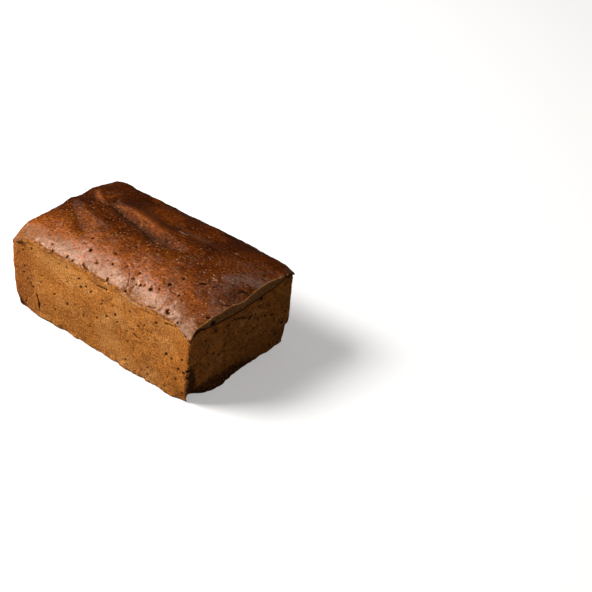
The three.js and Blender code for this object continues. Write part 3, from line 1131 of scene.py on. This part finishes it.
    def lip_shares(self, points: SurfacePoints) -> tuple[Array, Array]:
        """Where the right end's lip hangs, and where the painted shade of the seam under it and the painted
        highlight on its upper edge lie.

        Args:
            points: the cage's vertices.

        Returns:
            The share of the lip's face, and a value that is -1 in the seam's painted shade and 1 on the
            painted highlight of the lip's upper edge.
        """
        place = points.place
        thick = self.form.lip(place, points.rim).thickness
        right = place.right * ~points.on_top
        below = points.rim - points.b
        face = right * fall(below, thick * self.face_reach, self.face_edge)
        growth = smooth((place.y - self.form.lip_start) / self.line_growth)
        lowest = smooth((below - thick + self.seam_above) / self.seam_edge)
        seam = right * growth * (lowest * smooth(thick + self.seam_below - below))
        on_top = points.on_top & (place.x > 0)
        gap = np.where(on_top, self.form.half_length - place.x, below)
        edge = bell(gap, self.highlight_line) * growth * np.where(on_top, 1.0, right)
        return face, edge - seam

    def unwrap(self, mesh: bpy.types.Mesh, cage: Array) -> None:
        """Lays the six sides out on one square map, each flat and at about the same scale.

        Args:
            mesh: the loaf's mesh.
            cage: its vertices on the cage.
        """
        length, width, height = self.form.base_length, self.form.base_width, self.cage_height
        half_l, half_w = length / 2, width / 2
        gap, square, base_across, base_up = self.map_gap, self.map_side, *self.map_base

        def read(rows: bpy.types.bpy_prop_collection, name: str) -> Array:
            """One whole number from each row of the mesh."""
            values = np.empty(len(rows), int)
            rows.foreach_get(name, values)
            return values

        corner = read(mesh.loops, "vertex_index")
        start, total = read(mesh.polygons, "loop_start"), read(mesh.polygons, "loop_total")
        x, y, z = cage[corner].T
        centre = np.stack([np.add.reduceat(c, start) / total for c in (x, y, z)])
        cx, cy, cz = (np.repeat(c, total) for c in centre)
        edge = self.on_plane
        row_2, row_3 = width + gap, width + height + 2 * gap
        column_2 = length + gap
        end_scale = (square - column_2 - gap) / width
        layouts = (
            (cz > height - edge, x + half_l, y + half_w),
            (cy < edge - half_w, x + half_l, z + row_2),
            (cy > half_w - edge, half_l - x, z + row_3),
            (cx < edge - half_l, (half_w - y) * end_scale + column_2, z * end_scale + row_3),
            (cx > half_l - edge, (y + half_w) * end_scale + column_2, z * end_scale + row_2),
            (cz < edge, (y + half_w) * end_scale * base_across + column_2, (x + half_l) * base_up),
        )
        u, v = np.zeros(len(corner)), np.zeros(len(corner))
        for chosen, across, up in layouts:
            u = np.where(chosen, across, u)
            v = np.where(chosen, up, v)
        layer = mesh.uv_layers.new(name="OFBake")
        uv = (np.stack([u, v], axis=1) + gap / 2) / square
        layer.uv.foreach_set("vector", uv.astype(np.float32).ravel())

    def build(self) -> bpy.types.Object:
        """Makes the loaf's mesh and object.

        Returns:
            The object, at the origin, with its place in its mesh.
        """
        features = self.detail.features(self.form)
        bm = self.cage()
        self.refine(bm, features, self.fine_margin, bands=True)
        self.refine(bm, features, self.finest_margin, bands=False)
        cage = np.array([v.co for v in bm.verts])
        mesh = bpy.data.meshes.new("loaf_bread")
        bm.to_mesh(mesh)
        bm.free()
        points = self.points(cage)
        push, dark = self.pushes(points, features)
        places = self.surface(points) + self.inward_directions(points) * push[:, None]
        mesh.vertices.foreach_set("co", (places * MM).astype(np.float32).ravel())
        face, line = self.lip_shares(points)
        on_top = points.on_top
        values = {
            "crust_distance": self.crust_distance(points),
            "front_distance": np.where(on_top, cage[:, 1] + self.form.half_width, 0.0),
            # Painted shade in the pores and cracks.
            "pore": dark,
            # Painted shade in the fold valleys, painted light on the ridges.
            "fold": np.where(on_top, self.form.fold_shade(cage[:, 0], cage[:, 1]), 0.0),
            "fold_rise": np.where(on_top, self.form.fold_rise(cage[:, 0], cage[:, 1]), 0.0),
            "scar_and_shade": self.scar_and_shade(points),
            "tint_and_sheen": self.tint_and_sheen(points),
            "lip_face": face,
            "lip_painted_light": line,
        }
        for name, value in values.items():
            layer = mesh.attributes.new(name, "FLOAT", "POINT")
            layer.data.foreach_set("value", value.astype(np.float32))
        self.unwrap(mesh, cage)
        mesh.shade_smooth()
        mesh.update()
        piece = bpy.data.objects.new("loaf_bread", mesh)
        bpy.context.scene.collection.objects.link(piece)
        triangles = sum(len(p.vertices) - 2 for p in mesh.polygons)
        counts = (len(cage), triangles, len(features))
        LOG.info("loaf_bread: %d vertices, %d triangles, %d pores and cracks", *counts)
        return piece


@dataclass(frozen=True)
class Ramp:
    """Stretches one range of values onto another, eased at both ends unless it is straight."""

    low: float
    high: float
    to_low: float = 0.0
    to_high: float = 1.0
    straight: bool = False


@dataclass(frozen=True)
class Cloud:
    """Cloudy noise: a cloud's size in millimetres, finer layers, their strength, its ramp and its stretch.

    The noise is about 0.3 to 0.7 before its ramp. A stretch below 1 makes clouds longer along that axis.
    """

    grain: float
    layers: float
    rough: float
    ramp: Ramp
    stretch: Triple | None = None


class NodeGraph:
    """Adds nodes to a material or a world and links them."""

    def __init__(self, owner: bpy.types.Material | bpy.types.World) -> None:
        """Empties the owner's nodes.

        Args:
            owner: the material or world to fill.
        """
        owner.use_nodes = True
        self.tree = owner.node_tree
        self.tree.nodes.clear()

    def put(self, socket: bpy.types.NodeSocket, value: object) -> None:
        """Links a socket to another one, or sets its value.

        Args:
            socket: the input to fill.
            value: the socket or the value that goes into it.
        """
        if isinstance(value, bpy.types.NodeSocket):
            self.tree.links.new(value, socket)
        else:
            socket.default_value = value

    def add(self, kind: str, inputs: dict[str | int, object], **settings: object) -> bpy.types.Node:
        """Adds one node.

        Args:
            kind: the node's type, without its first words.
            inputs: a value or a socket for each named or numbered input.
            settings: the node's own properties.

        Returns:
            The node.
        """
        node = self.tree.nodes.new("ShaderNode" + kind)
        for name, value in settings.items():
            setattr(node, name, value)
        for name, value in inputs.items():
            self.put(node.inputs[name], value)
        return node

    def attribute(self, name: str) -> Socket:
        """A value that the mesh holds at each vertex."""
        return self.add("Attribute", {}, attribute_name=name).outputs["Fac"]

    @cached_property
    def place(self) -> Socket:
        """The place on the object, in metres."""
        return self.add("TexCoord", {}).outputs["Object"]

    @cached_property
    def along(self) -> Socket:
        """How far along the loaf's length the place is, in metres."""
        return self.add("SeparateXYZ", {0: self.place}).outputs[0]

    def cloud(self, cloud: Cloud) -> Socket:
        """Adds cloudy noise.

        Args:
            cloud: its sizes and its ramp.

        Returns:
            The noise, put on its ramp.
        """
        place = self.place
        if cloud.stretch is not None:
            place = self.add("VectorMath", {0: place, 1: cloud.stretch}, operation="MULTIPLY").outputs[0]
        inputs = {"Vector": place, "Scale": 1 / (cloud.grain * MM), "Detail": cloud.layers,
                  "Roughness": cloud.rough}
        return self.ramp(self.add("TexNoise", inputs).outputs["Fac"], cloud.ramp)

    def cells(self, grain: float) -> tuple[Socket, list[Socket]]:
        """Cells round scattered points, for pits and specks.

        Args:
            grain: the size of a cell, in millimetres.

        Returns:
            The distance from the cell's point, in cells, and three numbers that are the cell's own.
        """
        node = self.add("TexVoronoi", {"Vector": self.place, "Scale": 1 / (grain * MM)})
        picks = self.add("SeparateColor", {0: node.outputs["Color"]}).outputs
        return node.outputs["Distance"], picks

    def maths(self, operation: str, a: Value, b: Value) -> Socket:
        """One sum."""
        return self.add("Math", {0: a, 1: b}, operation=operation).outputs[0]

    def plus(self, a: Value, b: Value) -> Socket:
        """Two numbers added up."""
        return self.maths("ADD", a, b)

    def minus(self, a: Value, b: Value) -> Socket:
        """One number less another."""
        return self.maths("SUBTRACT", a, b)

    def times(self, a: Value, b: Value) -> Socket:
        """Two numbers multiplied."""
        return self.maths("MULTIPLY", a, b)

    def larger(self, a: Value, b: Value) -> Socket:
        """The larger of two numbers."""
        return self.maths("MAXIMUM", a, b)

    def ramp(self, value: Value, ramp: Ramp) -> Socket:
        """Puts a value on a ramp, without passing its ends.

        Args:
            value: the value.
            ramp: the ramp.

        Returns:
            The value's place on the ramp.
        """
        inputs = {"Value": value, "From Min": ramp.low, "From Max": ramp.high,
                  "To Min": ramp.to_low, "To Max": ramp.to_high}
        kind = "LINEAR" if ramp.straight else "SMOOTHSTEP"
        return self.add("MapRange", inputs, interpolation_type=kind).outputs["Result"]

    def level(self, name: str, ramp: Ramp) -> Socket:
        """Puts a value that the mesh holds on a ramp."""
        return self.ramp(self.attribute(name), ramp)

    def blend(self, share: Value, a: Paint, b: Paint, mode: str = "MIX") -> Socket:
        """Mixes two colours, through numbered sockets, because their names repeat.

        Args:
            share: how much of the second colour shows.
            a, b: the two colours.
            mode: how they are mixed.

        Returns:
            The mixed colour.
        """
        first, second = ((*c, 1.0) if isinstance(c, tuple) else c for c in (a, b))
        inputs = {0: share, 6: first, 7: second}
        return self.add("Mix", inputs, data_type="RGBA", blend_type=mode).outputs[2]

    def layers(self, base: Paint, *layers: tuple[Value, Paint]) -> Socket:
        """Lays colours over a base, each with its own share.

        Args:
            base: the lowest colour.
            layers: each layer's share and colour, from the lowest up.

        Returns:
            The colour on top.
        """
        for share, paint in layers:
            base = self.blend(share, base, paint)
        return base

    def tone(self, colour: Paint, factor: Value) -> Socket:
        """A colour made darker or lighter by a factor."""
        grey = self.add("CombineColor", {0: factor, 1: factor, 2: factor}).outputs[0]
        return self.blend(1.0, colour, grey, "MULTIPLY")

    def between(self, share: Value, a: Value, b: Value) -> Socket:
        """Mixes two numbers."""
        return self.add("Mix", {0: share, 2: a, 3: b}, data_type="FLOAT").outputs[0]


@dataclass(frozen=True)
class CrustFinish:
    """The baked top: dark brown, amber towards the front rim, glossy, with fine pits and golden flecks, and
    painted light and shade: sheen along the front rim and at a few highlights, shade in the fold valleys,
    pinholes and the seam under the right end's lip, light on the fold ridges, rising flanks and the lip's
    upper edge.
    """

    dark: Colour = (0.037, 0.0064, 0.0004)
    brown: Colour = (0.077, 0.0155, 0.0008)
    amber: Colour = (0.185, 0.0415, 0.0026)
    # Paler, pinker crust along the front rim: partly a paler bake, partly painted sheen.
    rim: Colour = (0.17, 0.057, 0.0140)
    fleck: Colour = (0.60, 0.25, 0.080)
    # Painted shade in the pinholes.
    pit_shade: Colour = (0.030, 0.008, 0.003)
    # Painted sheen and highlights, laid where the top's patches are positive.
    painted_sheen: Colour = (0.42, 0.225, 0.140)
    lip: Colour = (0.36, 0.145, 0.038)
    # Painted highlight on the lip's upper edge.
    lip_edge: Colour = (0.42, 0.21, 0.10)
    # Painted shade in the seam under the lip.
    seam: Colour = (0.024, 0.007, 0.003)
    browning: Cloud = Cloud(30, 3, 0.55, Ramp(0.38, 0.64))
    wander: Cloud = Cloud(12, 4, 0.6, Ramp(0.3, 0.7, -8, 8, straight=True))
    amber_band: Ramp = Ramp(46, 12)
    # Where the rim colour and its painted sheen lie, in millimetres from the front rim.
    rim_band: Ramp = Ramp(15, 3)
    right_end: Ramp = Ramp(0.045, 0.080, 0.0, 0.6)
    # Amber on the folds' rising flanks, which face the lamps: painted light.
    rise: Ramp = Ramp(0.02, 0.50, 0.0, 0.40)
    rise_start: Ramp = Ramp(50, 58, 0.3, 1.0)
    rise_end: Ramp = Ramp(76, 66)
    # Amber on the fold ridges: painted light.
    paler_fold: Ramp = Ramp(0.1, 1.5, 0.0, 0.45)
    paler_patch: Ramp = Ramp(0.0, -1.0, 0.0, 0.8)
    # Darker in the fold valleys, lighter on the ridges: painted shade and painted light.
    fold_tone: Ramp = Ramp(-2.4, 0.6, 0.40, 1.1, straight=True)
    grain: Cloud = Cloud(1.7, 3, 0.8, Ramp(0.38, 0.62, 0.36, 1.9, straight=True))
    grain_fade: Ramp = Ramp(20, 6, 0.0, 0.25)
    fleck_grain: float = 1.8
    fleck_edge: Cloud = Cloud(0.7, 2, 0.6, Ramp(0.3, 0.7, -0.28, 0.28, straight=True))
    fleck_size: Ramp = Ramp(0.42, 0.14)
    fleck_strength: Ramp = Ramp(0.45, 0.95, 0.0, 0.9)
    fleck_gaps: Cloud = Cloud(1.1, 2, 0.7, Ramp(0.42, 0.58))
    fleck_band: Ramp = Ramp(90, 20, 0.12, 1.0)
    painted_sheen_gaps: Cloud = Cloud(1.6, 4, 0.7, Ramp(0.35, 0.6, 0.35, 1.0))
    painted_sheen_share: Ramp = Ramp(0.0, 1.0, 0.0, 0.9)
    lip_grain: Cloud = Cloud(1.4, 4, 0.7, Ramp(0.38, 0.62, 0.35, 1.6, straight=True))
    highlight_line: Ramp = Ramp(0.35, 0.9)
    highlight_breaks: Cloud = Cloud(3.2, 4, 0.6, Ramp(0.42, 0.62, 0.0, 0.6))
    seam_shade_line: Ramp = Ramp(-0.15, -0.75)
    seam_shade_breaks: Cloud = Cloud(3.2, 4, 0.6, Ramp(0.32, 0.5, 0.55, 0.95))
    pit_grain: float = 2.4
    pit_choice: Ramp = Ramp(0.80, 0.88)
    pit_size: Ramp = Ramp(0.22, 0.10)

    def colour(self, graph: NodeGraph) -> Socket:
        """The crust's colour.

        Args:
            graph: the material's nodes.

        Returns:
            The colour's socket.
        """
        from_front = graph.plus(graph.attribute("front_distance"), graph.cloud(self.wander))
        rise = graph.level("fold_rise", self.rise)
        rise = graph.times(rise, graph.level("front_distance", self.rise_start))
        base = self.baked(graph, from_front, rise)
        # Painted shade in the fold valleys and painted light on the ridges.
        base = graph.tone(base, graph.level("fold", self.fold_tone))
        grain_fade = graph.ramp(from_front, self.grain_fade)
        base = graph.tone(base, graph.between(grain_fade, graph.cloud(self.grain), 1.0))
        amount = graph.plus(graph.ramp(from_front, self.fleck_band), rise)
        # Painted sheen and highlights where the patches are positive.
        painted_sheen = graph.times(graph.attribute("tint_and_sheen"), graph.cloud(self.painted_sheen_gaps))
        return graph.layers(
            base,
            (graph.times(self.flecks(graph), amount), self.fleck),
            (graph.ramp(painted_sheen, self.painted_sheen_share), self.painted_sheen),
            (self.pits(graph), self.pit_shade),
        )

    def baked(self, graph: NodeGraph, from_front: Socket, rise: Socket) -> Socket:
        """The crust's browning, without its grain: darker and paler areas and bands, the rim colour with its
        painted sheen, and painted light on the fold ridges and rising fold flanks.

        Args:
            graph: the material's nodes.
            from_front: how far the place is from the front rim, in millimetres, with a wandering edge.
            rise: how strongly the place lies on a rising flank of a fold.

        Returns:
            The colour's socket.
        """
        paler = graph.larger(graph.level("fold", self.paler_fold), graph.level("tint_and_sheen", self.paler_patch))
        return graph.layers(
            self.dark,
            (graph.cloud(self.browning), self.brown),
            (graph.ramp(from_front, self.amber_band), self.amber),
            # The rim colour: a paler bake with painted sheen.
            (graph.ramp(from_front, self.rim_band), self.rim),
            (graph.ramp(graph.along, self.right_end), self.brown),
            # Painted light on the rising fold flanks.
            (graph.times(rise, graph.ramp(from_front, self.rise_end)), self.amber),
            # Painted light on the fold ridges, and amber where the top's patches are negative.
            (paler, self.amber),
        )

    def flecks(self, graph: NodeGraph) -> Socket:
        """Ragged flecks of flour and bran, up to 0.9 in the middle of each.

        Args:
            graph: the material's nodes.

        Returns:
            The share of the flecks.
        """
        distance, picks = graph.cells(self.fleck_grain)
        spot = graph.ramp(graph.plus(distance, graph.cloud(self.fleck_edge)), self.fleck_size)
        spot = graph.times(spot, graph.ramp(picks[0], self.fleck_strength))
        return graph.times(spot, graph.cloud(self.fleck_gaps))

    def lip_colour(self, graph: NodeGraph, base: Socket) -> Socket:
        """Adds the right end's lip: its face, a painted highlight on its upper edge and painted shade in the
        seam under it.

        Args:
            graph: the material's nodes.
            base: the colour so far.

        Returns:
            The colour's socket.
        """
        face = graph.tone(self.lip, graph.cloud(self.lip_grain))
        # Painted highlight along the lip's upper edge.
        edge = graph.times(graph.level("lip_painted_light", self.highlight_line), graph.cloud(self.highlight_breaks))
        # Painted shade in the seam under the lip.
        seam = graph.times(graph.level("lip_painted_light", self.seam_shade_line), graph.cloud(self.seam_shade_breaks))
        layers = ((graph.attribute("lip_face"), face), (edge, self.lip_edge), (seam, self.seam))
        return graph.layers(base, *layers)

    def pits(self, graph: NodeGraph) -> Socket:
        """Pinholes, 1 in the middle of each, which the crust's colour darkens with painted shade."""
        distance, picks = graph.cells(self.pit_grain)
        return graph.times(graph.ramp(distance, self.pit_size), graph.ramp(picks[1], self.pit_choice))


@dataclass(frozen=True)
class CrumbFinish:
    """The walls: golden brown, matt and sponge-like, with red-brown blotches, dark specks that are painted
    shade in tiny pores, and painted shade in the sponge's hollows with painted light on its crests.
    """

    golden: Colour = (0.50, 0.166, 0.024)
    brown: Colour = (0.34, 0.105, 0.016)
    tan: Colour = (0.62, 0.265, 0.070)
    orange: Colour = (0.52, 0.150, 0.014)
    blotch: Colour = (0.26, 0.058, 0.007)
    shadow: Colour = (0.23, 0.062, 0.009)
    light: Colour = (0.78, 0.335, 0.084)
    # Painted shade in the walls' tiny pores.
    speck_shade: Colour = (0.085, 0.020, 0.003)
    roughness: float = 0.95
    golden_areas: Cloud = Cloud(13, 4, 0.6, Ramp(0.30, 0.58))
    tan_areas: Cloud = Cloud(21, 3, 0.55, Ramp(0.48, 0.66, 0.0, 0.85))
    left_end: Ramp = Ramp(-0.035, -0.080, 0.0, 0.55)
    right_end: Ramp = Ramp(0.045, 0.082, 0.0, 0.65)
    wander: Cloud = Cloud(5.0, 4, 0.6, Ramp(0.3, 0.7, -0.25, 0.25, straight=True))
    paler_patch: Ramp = Ramp(0.15, 1.0, 0.0, 0.8)
    redder_patch: Ramp = Ramp(-0.15, -1.0, 0.0, 0.8)
    end_wall: Ramp = Ramp(0.0800, 0.0815)
    end_mottle: Cloud = Cloud(4.5, 5, 0.7, Ramp(0.36, 0.64, 0.60, 1.85, straight=True))
    blotches: Cloud = Cloud(3.6, 4, 0.7, Ramp(0.55, 0.68, 0.0, 0.70))
    hollows: Cloud = Cloud(1.05, 2, 0.8, Ramp(0.50, 0.34, straight=True))
    hollow_share: float = 0.75
    crests: Cloud = Cloud(1.05, 2, 0.8, Ramp(0.50, 0.66, 0.0, 0.70, straight=True))
    speck_grain: float = 1.35
    speck_size: Ramp = Ramp(0.35, 1.0, 0.0, 0.34, straight=True)
    speck_edge: Ramp = Ramp(0.04, -0.10)
    speck_choice: Ramp = Ramp(0.35, 0.5)
    speck_share: float = 0.8

    def colour(self, graph: NodeGraph) -> Socket:
        """The walls' colour.

        Args:
            graph: the material's nodes.

        Returns:
            The colour's socket.
        """
        tint_and_sheen = graph.plus(graph.attribute("tint_and_sheen"), graph.cloud(self.wander))
        base = graph.layers(
            self.brown,
            (graph.cloud(self.golden_areas), self.golden),
            (graph.cloud(self.tan_areas), self.tan),
            (graph.ramp(graph.along, self.left_end), self.brown),
            (graph.ramp(graph.along, self.right_end), self.orange),
            (graph.ramp(tint_and_sheen, self.paler_patch), self.tan),
            (graph.ramp(tint_and_sheen, self.redder_patch), self.blotch),
        )
        at_end = graph.ramp(graph.along, self.end_wall)
        share = graph.between(at_end, self.hollow_share, 1.0)
        return graph.layers(
            graph.tone(base, graph.between(at_end, 1.0, graph.cloud(self.end_mottle))),
            (graph.cloud(self.blotches), self.blotch),
            # Painted shade in the sponge's hollows and painted light on its crests.
            (graph.times(graph.cloud(self.hollows), share), self.shadow),
            (graph.cloud(self.crests), self.light),
            (graph.times(self.specks(graph), self.speck_share), self.speck_shade),
        )

    def specks(self, graph: NodeGraph) -> Socket:
        """Tiny pores drawn as dark specks of painted shade, 1 in the middle of each, of uneven size.

        Args:
            graph: the material's nodes.

        Returns:
            The share of the specks.
        """
        distance, picks = graph.cells(self.speck_grain)
        edge = graph.minus(distance, graph.ramp(picks[0], self.speck_size))
        return graph.times(graph.ramp(edge, self.speck_edge), graph.ramp(picks[1], self.speck_choice))


@dataclass(frozen=True)
class BreadMaterial:
    """The loaf's one material, which runs from the crust to the walls at the crust's lower edge."""

    crust: CrustFinish = CrustFinish()
    crumb: CrumbFinish = CrumbFinish()
    # Dark colour of torn crumb and stained patches, also used for painted shade at the foot, low on the
    # right end and under the lip beside the front corner.
    scar_and_shade: Colour = (0.055, 0.014, 0.003)
    # Painted shade inside the pores and cracks, on the walls and on the crust.
    pore_shade: Colour = (0.026, 0.0060, 0.0012)
    crust_pore_shade: Colour = (0.009, 0.003, 0.001)
    specular: float = 0.42
    specular_tint: Colour = (1.0, 0.79, 0.66)
    crust_ragged: Cloud = Cloud(3.0, 4, 0.6, Ramp(0.3, 0.7, -1.4, 1.4, straight=True))
    crust_edge: Ramp = Ramp(-0.4, 0.5)
    scar_grit: Cloud = Cloud(1.3, 4, 0.75, Ramp(0.30, 0.70, 0.3, 1.4, straight=True))
    scar_edge: Ramp = Ramp(0.30, 0.75)
    scar_share: float = 0.9
    pore_share: float = 0.95
    gloss: Cloud = Cloud(4.0, 4, 0.65, Ramp(0.3, 0.7, 0.18, 0.31, straight=True))
    polish: Ramp = Ramp(26, 46, 0.0, 0.07)
    flank_matt: Ramp = Ramp(-0.02, 0.18, 0.0, 0.80)
    flank_end: Ramp = Ramp(77, 68)
    flank_uneven: Cloud = Cloud(1.8, 3, 0.7, Ramp(0.40, 0.60, 0.70, 1.10, straight=True))
    skin: Cloud = Cloud(1.7, 3, 0.65, Ramp(0.2, 0.8, 0.0, 0.10, straight=True))
    streaks: Cloud = Cloud(1.5, 3, 0.6, Ramp(0.2, 0.8, 0.0, 0.09, straight=True), (0.35, 1.0, 1.0))
    pit_depth: float = 0.16
    sponge: Cloud = Cloud(0.8, 3, 0.75, Ramp(0.2, 0.8, 0.0, 0.5, straight=True))
    speck_depth: float = 0.35

    def make(self) -> bpy.types.Material:
        """Builds the material's nodes.

        Returns:
            The material.
        """
        material = bpy.data.materials.new("bread_crust")
        graph = NodeGraph(material)
        edge = graph.plus(graph.attribute("crust_distance"), graph.cloud(self.crust_ragged))
        on_crust = graph.ramp(edge, self.crust_edge)
        torn_and_shaded = graph.times(graph.attribute("scar_and_shade"), graph.cloud(self.scar_grit))
        torn_and_shaded = graph.ramp(torn_and_shaded, self.scar_edge)
        pore = graph.attribute("pore")
        colour = graph.blend(on_crust, self.crumb.colour(graph), self.crust.colour(graph))
        pore_shade = graph.blend(on_crust, self.pore_shade, self.crust_pore_shade)
        colour = graph.layers(
            self.crust.lip_colour(graph, colour),
            (graph.times(torn_and_shaded, self.scar_share), self.scar_and_shade),
            # Painted shade in the pores and cracks.
            (graph.times(pore, self.pore_share), pore_shade),
        )
        matt = graph.larger(graph.larger(graph.attribute("lip_face"), torn_and_shaded), pore)
        glossy = graph.minus(on_crust, matt)
        shader = graph.add("BsdfPrincipled", {
            "Base Color": colour,
            "Roughness": graph.between(glossy, self.crumb.roughness, self.crust_roughness(graph)),
            "Specular IOR Level": self.specular,
            "Specular Tint": (*self.specular_tint, 1.0),
            "Normal": self.relief(graph, on_crust),
        })
        graph.add("OutputMaterial", {"Surface": shader.outputs["BSDF"]})
        return material

    def crust_roughness(self, graph: NodeGraph) -> Socket:
        """The crust's roughness: unevenly glossy, and matt on the folds' rising flanks.

        Args:
            graph: the material's nodes.

        Returns:
            The roughness.
        """
        gloss = graph.minus(graph.cloud(self.gloss), graph.level("front_distance", self.polish))
        flank = graph.level("fold_rise", self.flank_matt)
        flank = graph.times(flank, graph.level("front_distance", self.flank_end))
        return graph.plus(gloss, graph.times(flank, graph.cloud(self.flank_uneven)))

    def relief(self, graph: NodeGraph, on_crust: Socket) -> Socket:
        """The surface finer than the mesh: the crust's leathery skin and the walls' sponge.

        Args:
            graph: the material's nodes.
            on_crust: 1 on the crust and 0 on the walls.

        Returns:
            The normal's socket.
        """
        skin = graph.plus(graph.cloud(self.skin), graph.cloud(self.streaks))
        skin = graph.minus(skin, graph.times(self.crust.pits(graph), self.pit_depth))
        specks = graph.times(self.crumb.specks(graph), self.speck_depth)
        sponge = graph.minus(graph.cloud(self.sponge), specks)
        height = graph.times(graph.between(on_crust, sponge, skin), MM)
        bump = graph.add("Bump", {"Strength": 1.0, "Distance": 1.0, "Height": height})
        return bump.outputs["Normal"]


@dataclass(frozen=True)
class Lamp:
    """A soft panel that is aimed at the loaf: its direction from there, its distance, sides and power."""

    name: str
    direction: Triple
    distance: float
    width: float
    height: float
    power: float
    diffuse: bool = True
    glossy: bool = True

    def make(self, target: Vector) -> None:
        """Adds the light.

        Args:
            target: the point that it is aimed at.
        """
        data = bpy.data.lights.new(self.name, "AREA")
        data.shape = "RECTANGLE"
        data.size, data.size_y = self.width, self.height
        data.energy = self.power
        lamp = bpy.data.objects.new(self.name, data)
        direction = Vector(self.direction).normalized()
        lamp.location = target + direction * self.distance
        lamp.rotation_mode = "QUATERNION"
        lamp.rotation_quaternion = (-direction).to_track_quat("-Z", "Y")
        lamp.visible_diffuse = self.diffuse
        lamp.visible_glossy = self.glossy
        bpy.context.scene.collection.objects.link(lamp)
        LOG.info("%s: %.1f W", self.name, self.power)


@dataclass(frozen=True)
class Studio:
    """A pale floor, a broad key light from the front left, panels for the crust's sheen and a weak fill."""

    floor_size: float = 6.0
    floor_colour: Colour = (0.62, 0.61, 0.60)
    floor_shade: Colour = (0.10, 0.095, 0.09)
    floor_mirrored: Colour = (0.02, 0.02, 0.02)
    floor_glow: float = 0.60
    fill_colour: Colour = (1.0, 0.98, 0.96)
    fill_strength: float = 0.15
    fill_gloss: float = 0.02
    aim: Triple = (0.0, 0.0, 0.04)
    lamps: tuple[Lamp, ...] = (
        Lamp("key", (-0.55, -0.45, 0.70), 1.4, 0.7, 0.7, 42.0, glossy=False),
        Lamp("sheen panel", (-0.58, -0.12, 0.81), 1.2, 0.54, 0.42, 8.7, diffuse=False),
        Lamp("sheen fade", (-0.66, 0.22, 0.70), 1.2, 0.34, 0.42, 1.0, diffuse=False),
        Lamp("corner panel", (-0.93, 0.10, 0.30), 1.2, 0.30, 0.40, 0.6, diffuse=False),
        Lamp("tip panel", (0.06, -0.90, 0.42), 1.2, 0.40, 0.40, 2.5, diffuse=False),
        Lamp("rear panel", (-0.10, 0.62, 0.76), 1.2, 0.50, 0.30, 0.9, diffuse=False),
    )

    def floor(self) -> None:
        """Makes the floor, darker to light that has already bounced, so that it doesn't fill the shade."""
        bm = bmesh.new()
        bmesh.ops.create_grid(bm, x_segments=1, y_segments=1, size=self.floor_size / 2)
        mesh = bpy.data.meshes.new("floor")
        bm.to_mesh(mesh)
        bm.free()
        floor = bpy.data.objects.new("floor", mesh)
        bpy.context.scene.collection.objects.link(floor)
        material = bpy.data.materials.new("floor")
        graph = NodeGraph(material)
        rays = graph.add("LightPath", {})
        colour = graph.blend(rays.outputs["Is Diffuse Ray"], self.floor_colour, self.floor_shade)
        colour = graph.blend(rays.outputs["Is Glossy Ray"], colour, self.floor_mirrored)
        glow = graph.times(rays.outputs["Is Camera Ray"], self.floor_glow)
        pale = graph.add("Emission", {"Color": (*self.floor_colour, 1.0), "Strength": glow})
        matt = graph.add("BsdfDiffuse", {"Color": colour})
        both = graph.add("AddShader", {0: matt.outputs[0], 1: pale.outputs[0]})
        graph.add("OutputMaterial", {"Surface": both.outputs[0]})
        mesh.materials.append(material)
        LOG.info("floor: %.1f m square", self.floor_size)

    def lights(self) -> None:
        """Makes the lamps and the even fill."""
        for lamp in self.lamps:
            lamp.make(Vector(self.aim))
        world = bpy.data.worlds.new("studio")
        graph = NodeGraph(world)
        glossy = graph.add("LightPath", {}).outputs["Is Glossy Ray"]
        strength = graph.between(glossy, self.fill_strength, self.fill_gloss)
        sky = graph.add("Background", {"Color": (*self.fill_colour, 1.0), "Strength": strength})
        graph.add("OutputWorld", {"Surface": sky.outputs[0]})
        bpy.context.scene.world = world
        LOG.info("fill: %.2f", self.fill_strength)


@dataclass(frozen=True)
class ProductCamera:
    """The camera: where it stands, and where in the rendered image the loaf's middle lies."""

    azimuth: float = 44.63
    elevation: float = 34.93
    distance: float = 1.3638
    target: Triple = (-0.0013, -0.0009, 0.035)
    target_pixel: Pair = (150.28, 281.65)
    image_side: int = 592
    focal_pixels: float = 2000.0
    sensor: float = 36.0
    nearest: float = 0.05
    farthest: float = 20.0

    def make(self) -> None:
        """Adds the camera and makes it the scene's."""
        data = bpy.data.cameras.new("camera")
        data.sensor_width = self.sensor
        data.lens = self.focal_pixels * self.sensor / self.image_side
        data.clip_start, data.clip_end = self.nearest, self.farthest
        camera = bpy.data.objects.new("camera", data)
        a, e = math.radians(self.azimuth), math.radians(self.elevation)
        back = Vector((math.sin(a) * math.cos(e), -math.cos(a) * math.cos(e), math.sin(e)))
        centre = self.image_side / 2
        across = (self.target_pixel[0] - centre) / self.focal_pixels
        up = (centre - self.target_pixel[1]) / self.focal_pixels
        turn: Quaternion = Vector((0, 0, -1)).rotation_difference(Vector((across, up, -1)))
        camera.location = Vector(self.target) + back * self.distance
        camera.rotation_mode = "QUATERNION"
        camera.rotation_quaternion = (-back).to_track_quat("-Z", "Y") @ turn.inverted()
        bpy.context.scene.collection.objects.link(camera)
        bpy.context.scene.camera = camera
        LOG.info("camera: %.1f degrees round, %.1f up", self.azimuth, self.elevation)


def main() -> None:
    """Builds the camera, the studio and the loaf."""
    logging.basicConfig(level=logging.INFO, format="%(name)s: %(message)s")
    bpy.context.scene.view_settings.view_transform = "Standard"
    ProductCamera().make()
    Studio().floor()
    Studio().lights()
    loaf = Loaf().build()
    loaf.data.materials.append(BreadMaterial().make())
    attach(loaf, "root")
    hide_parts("loaf")


if __name__ == "__main__":
    main()
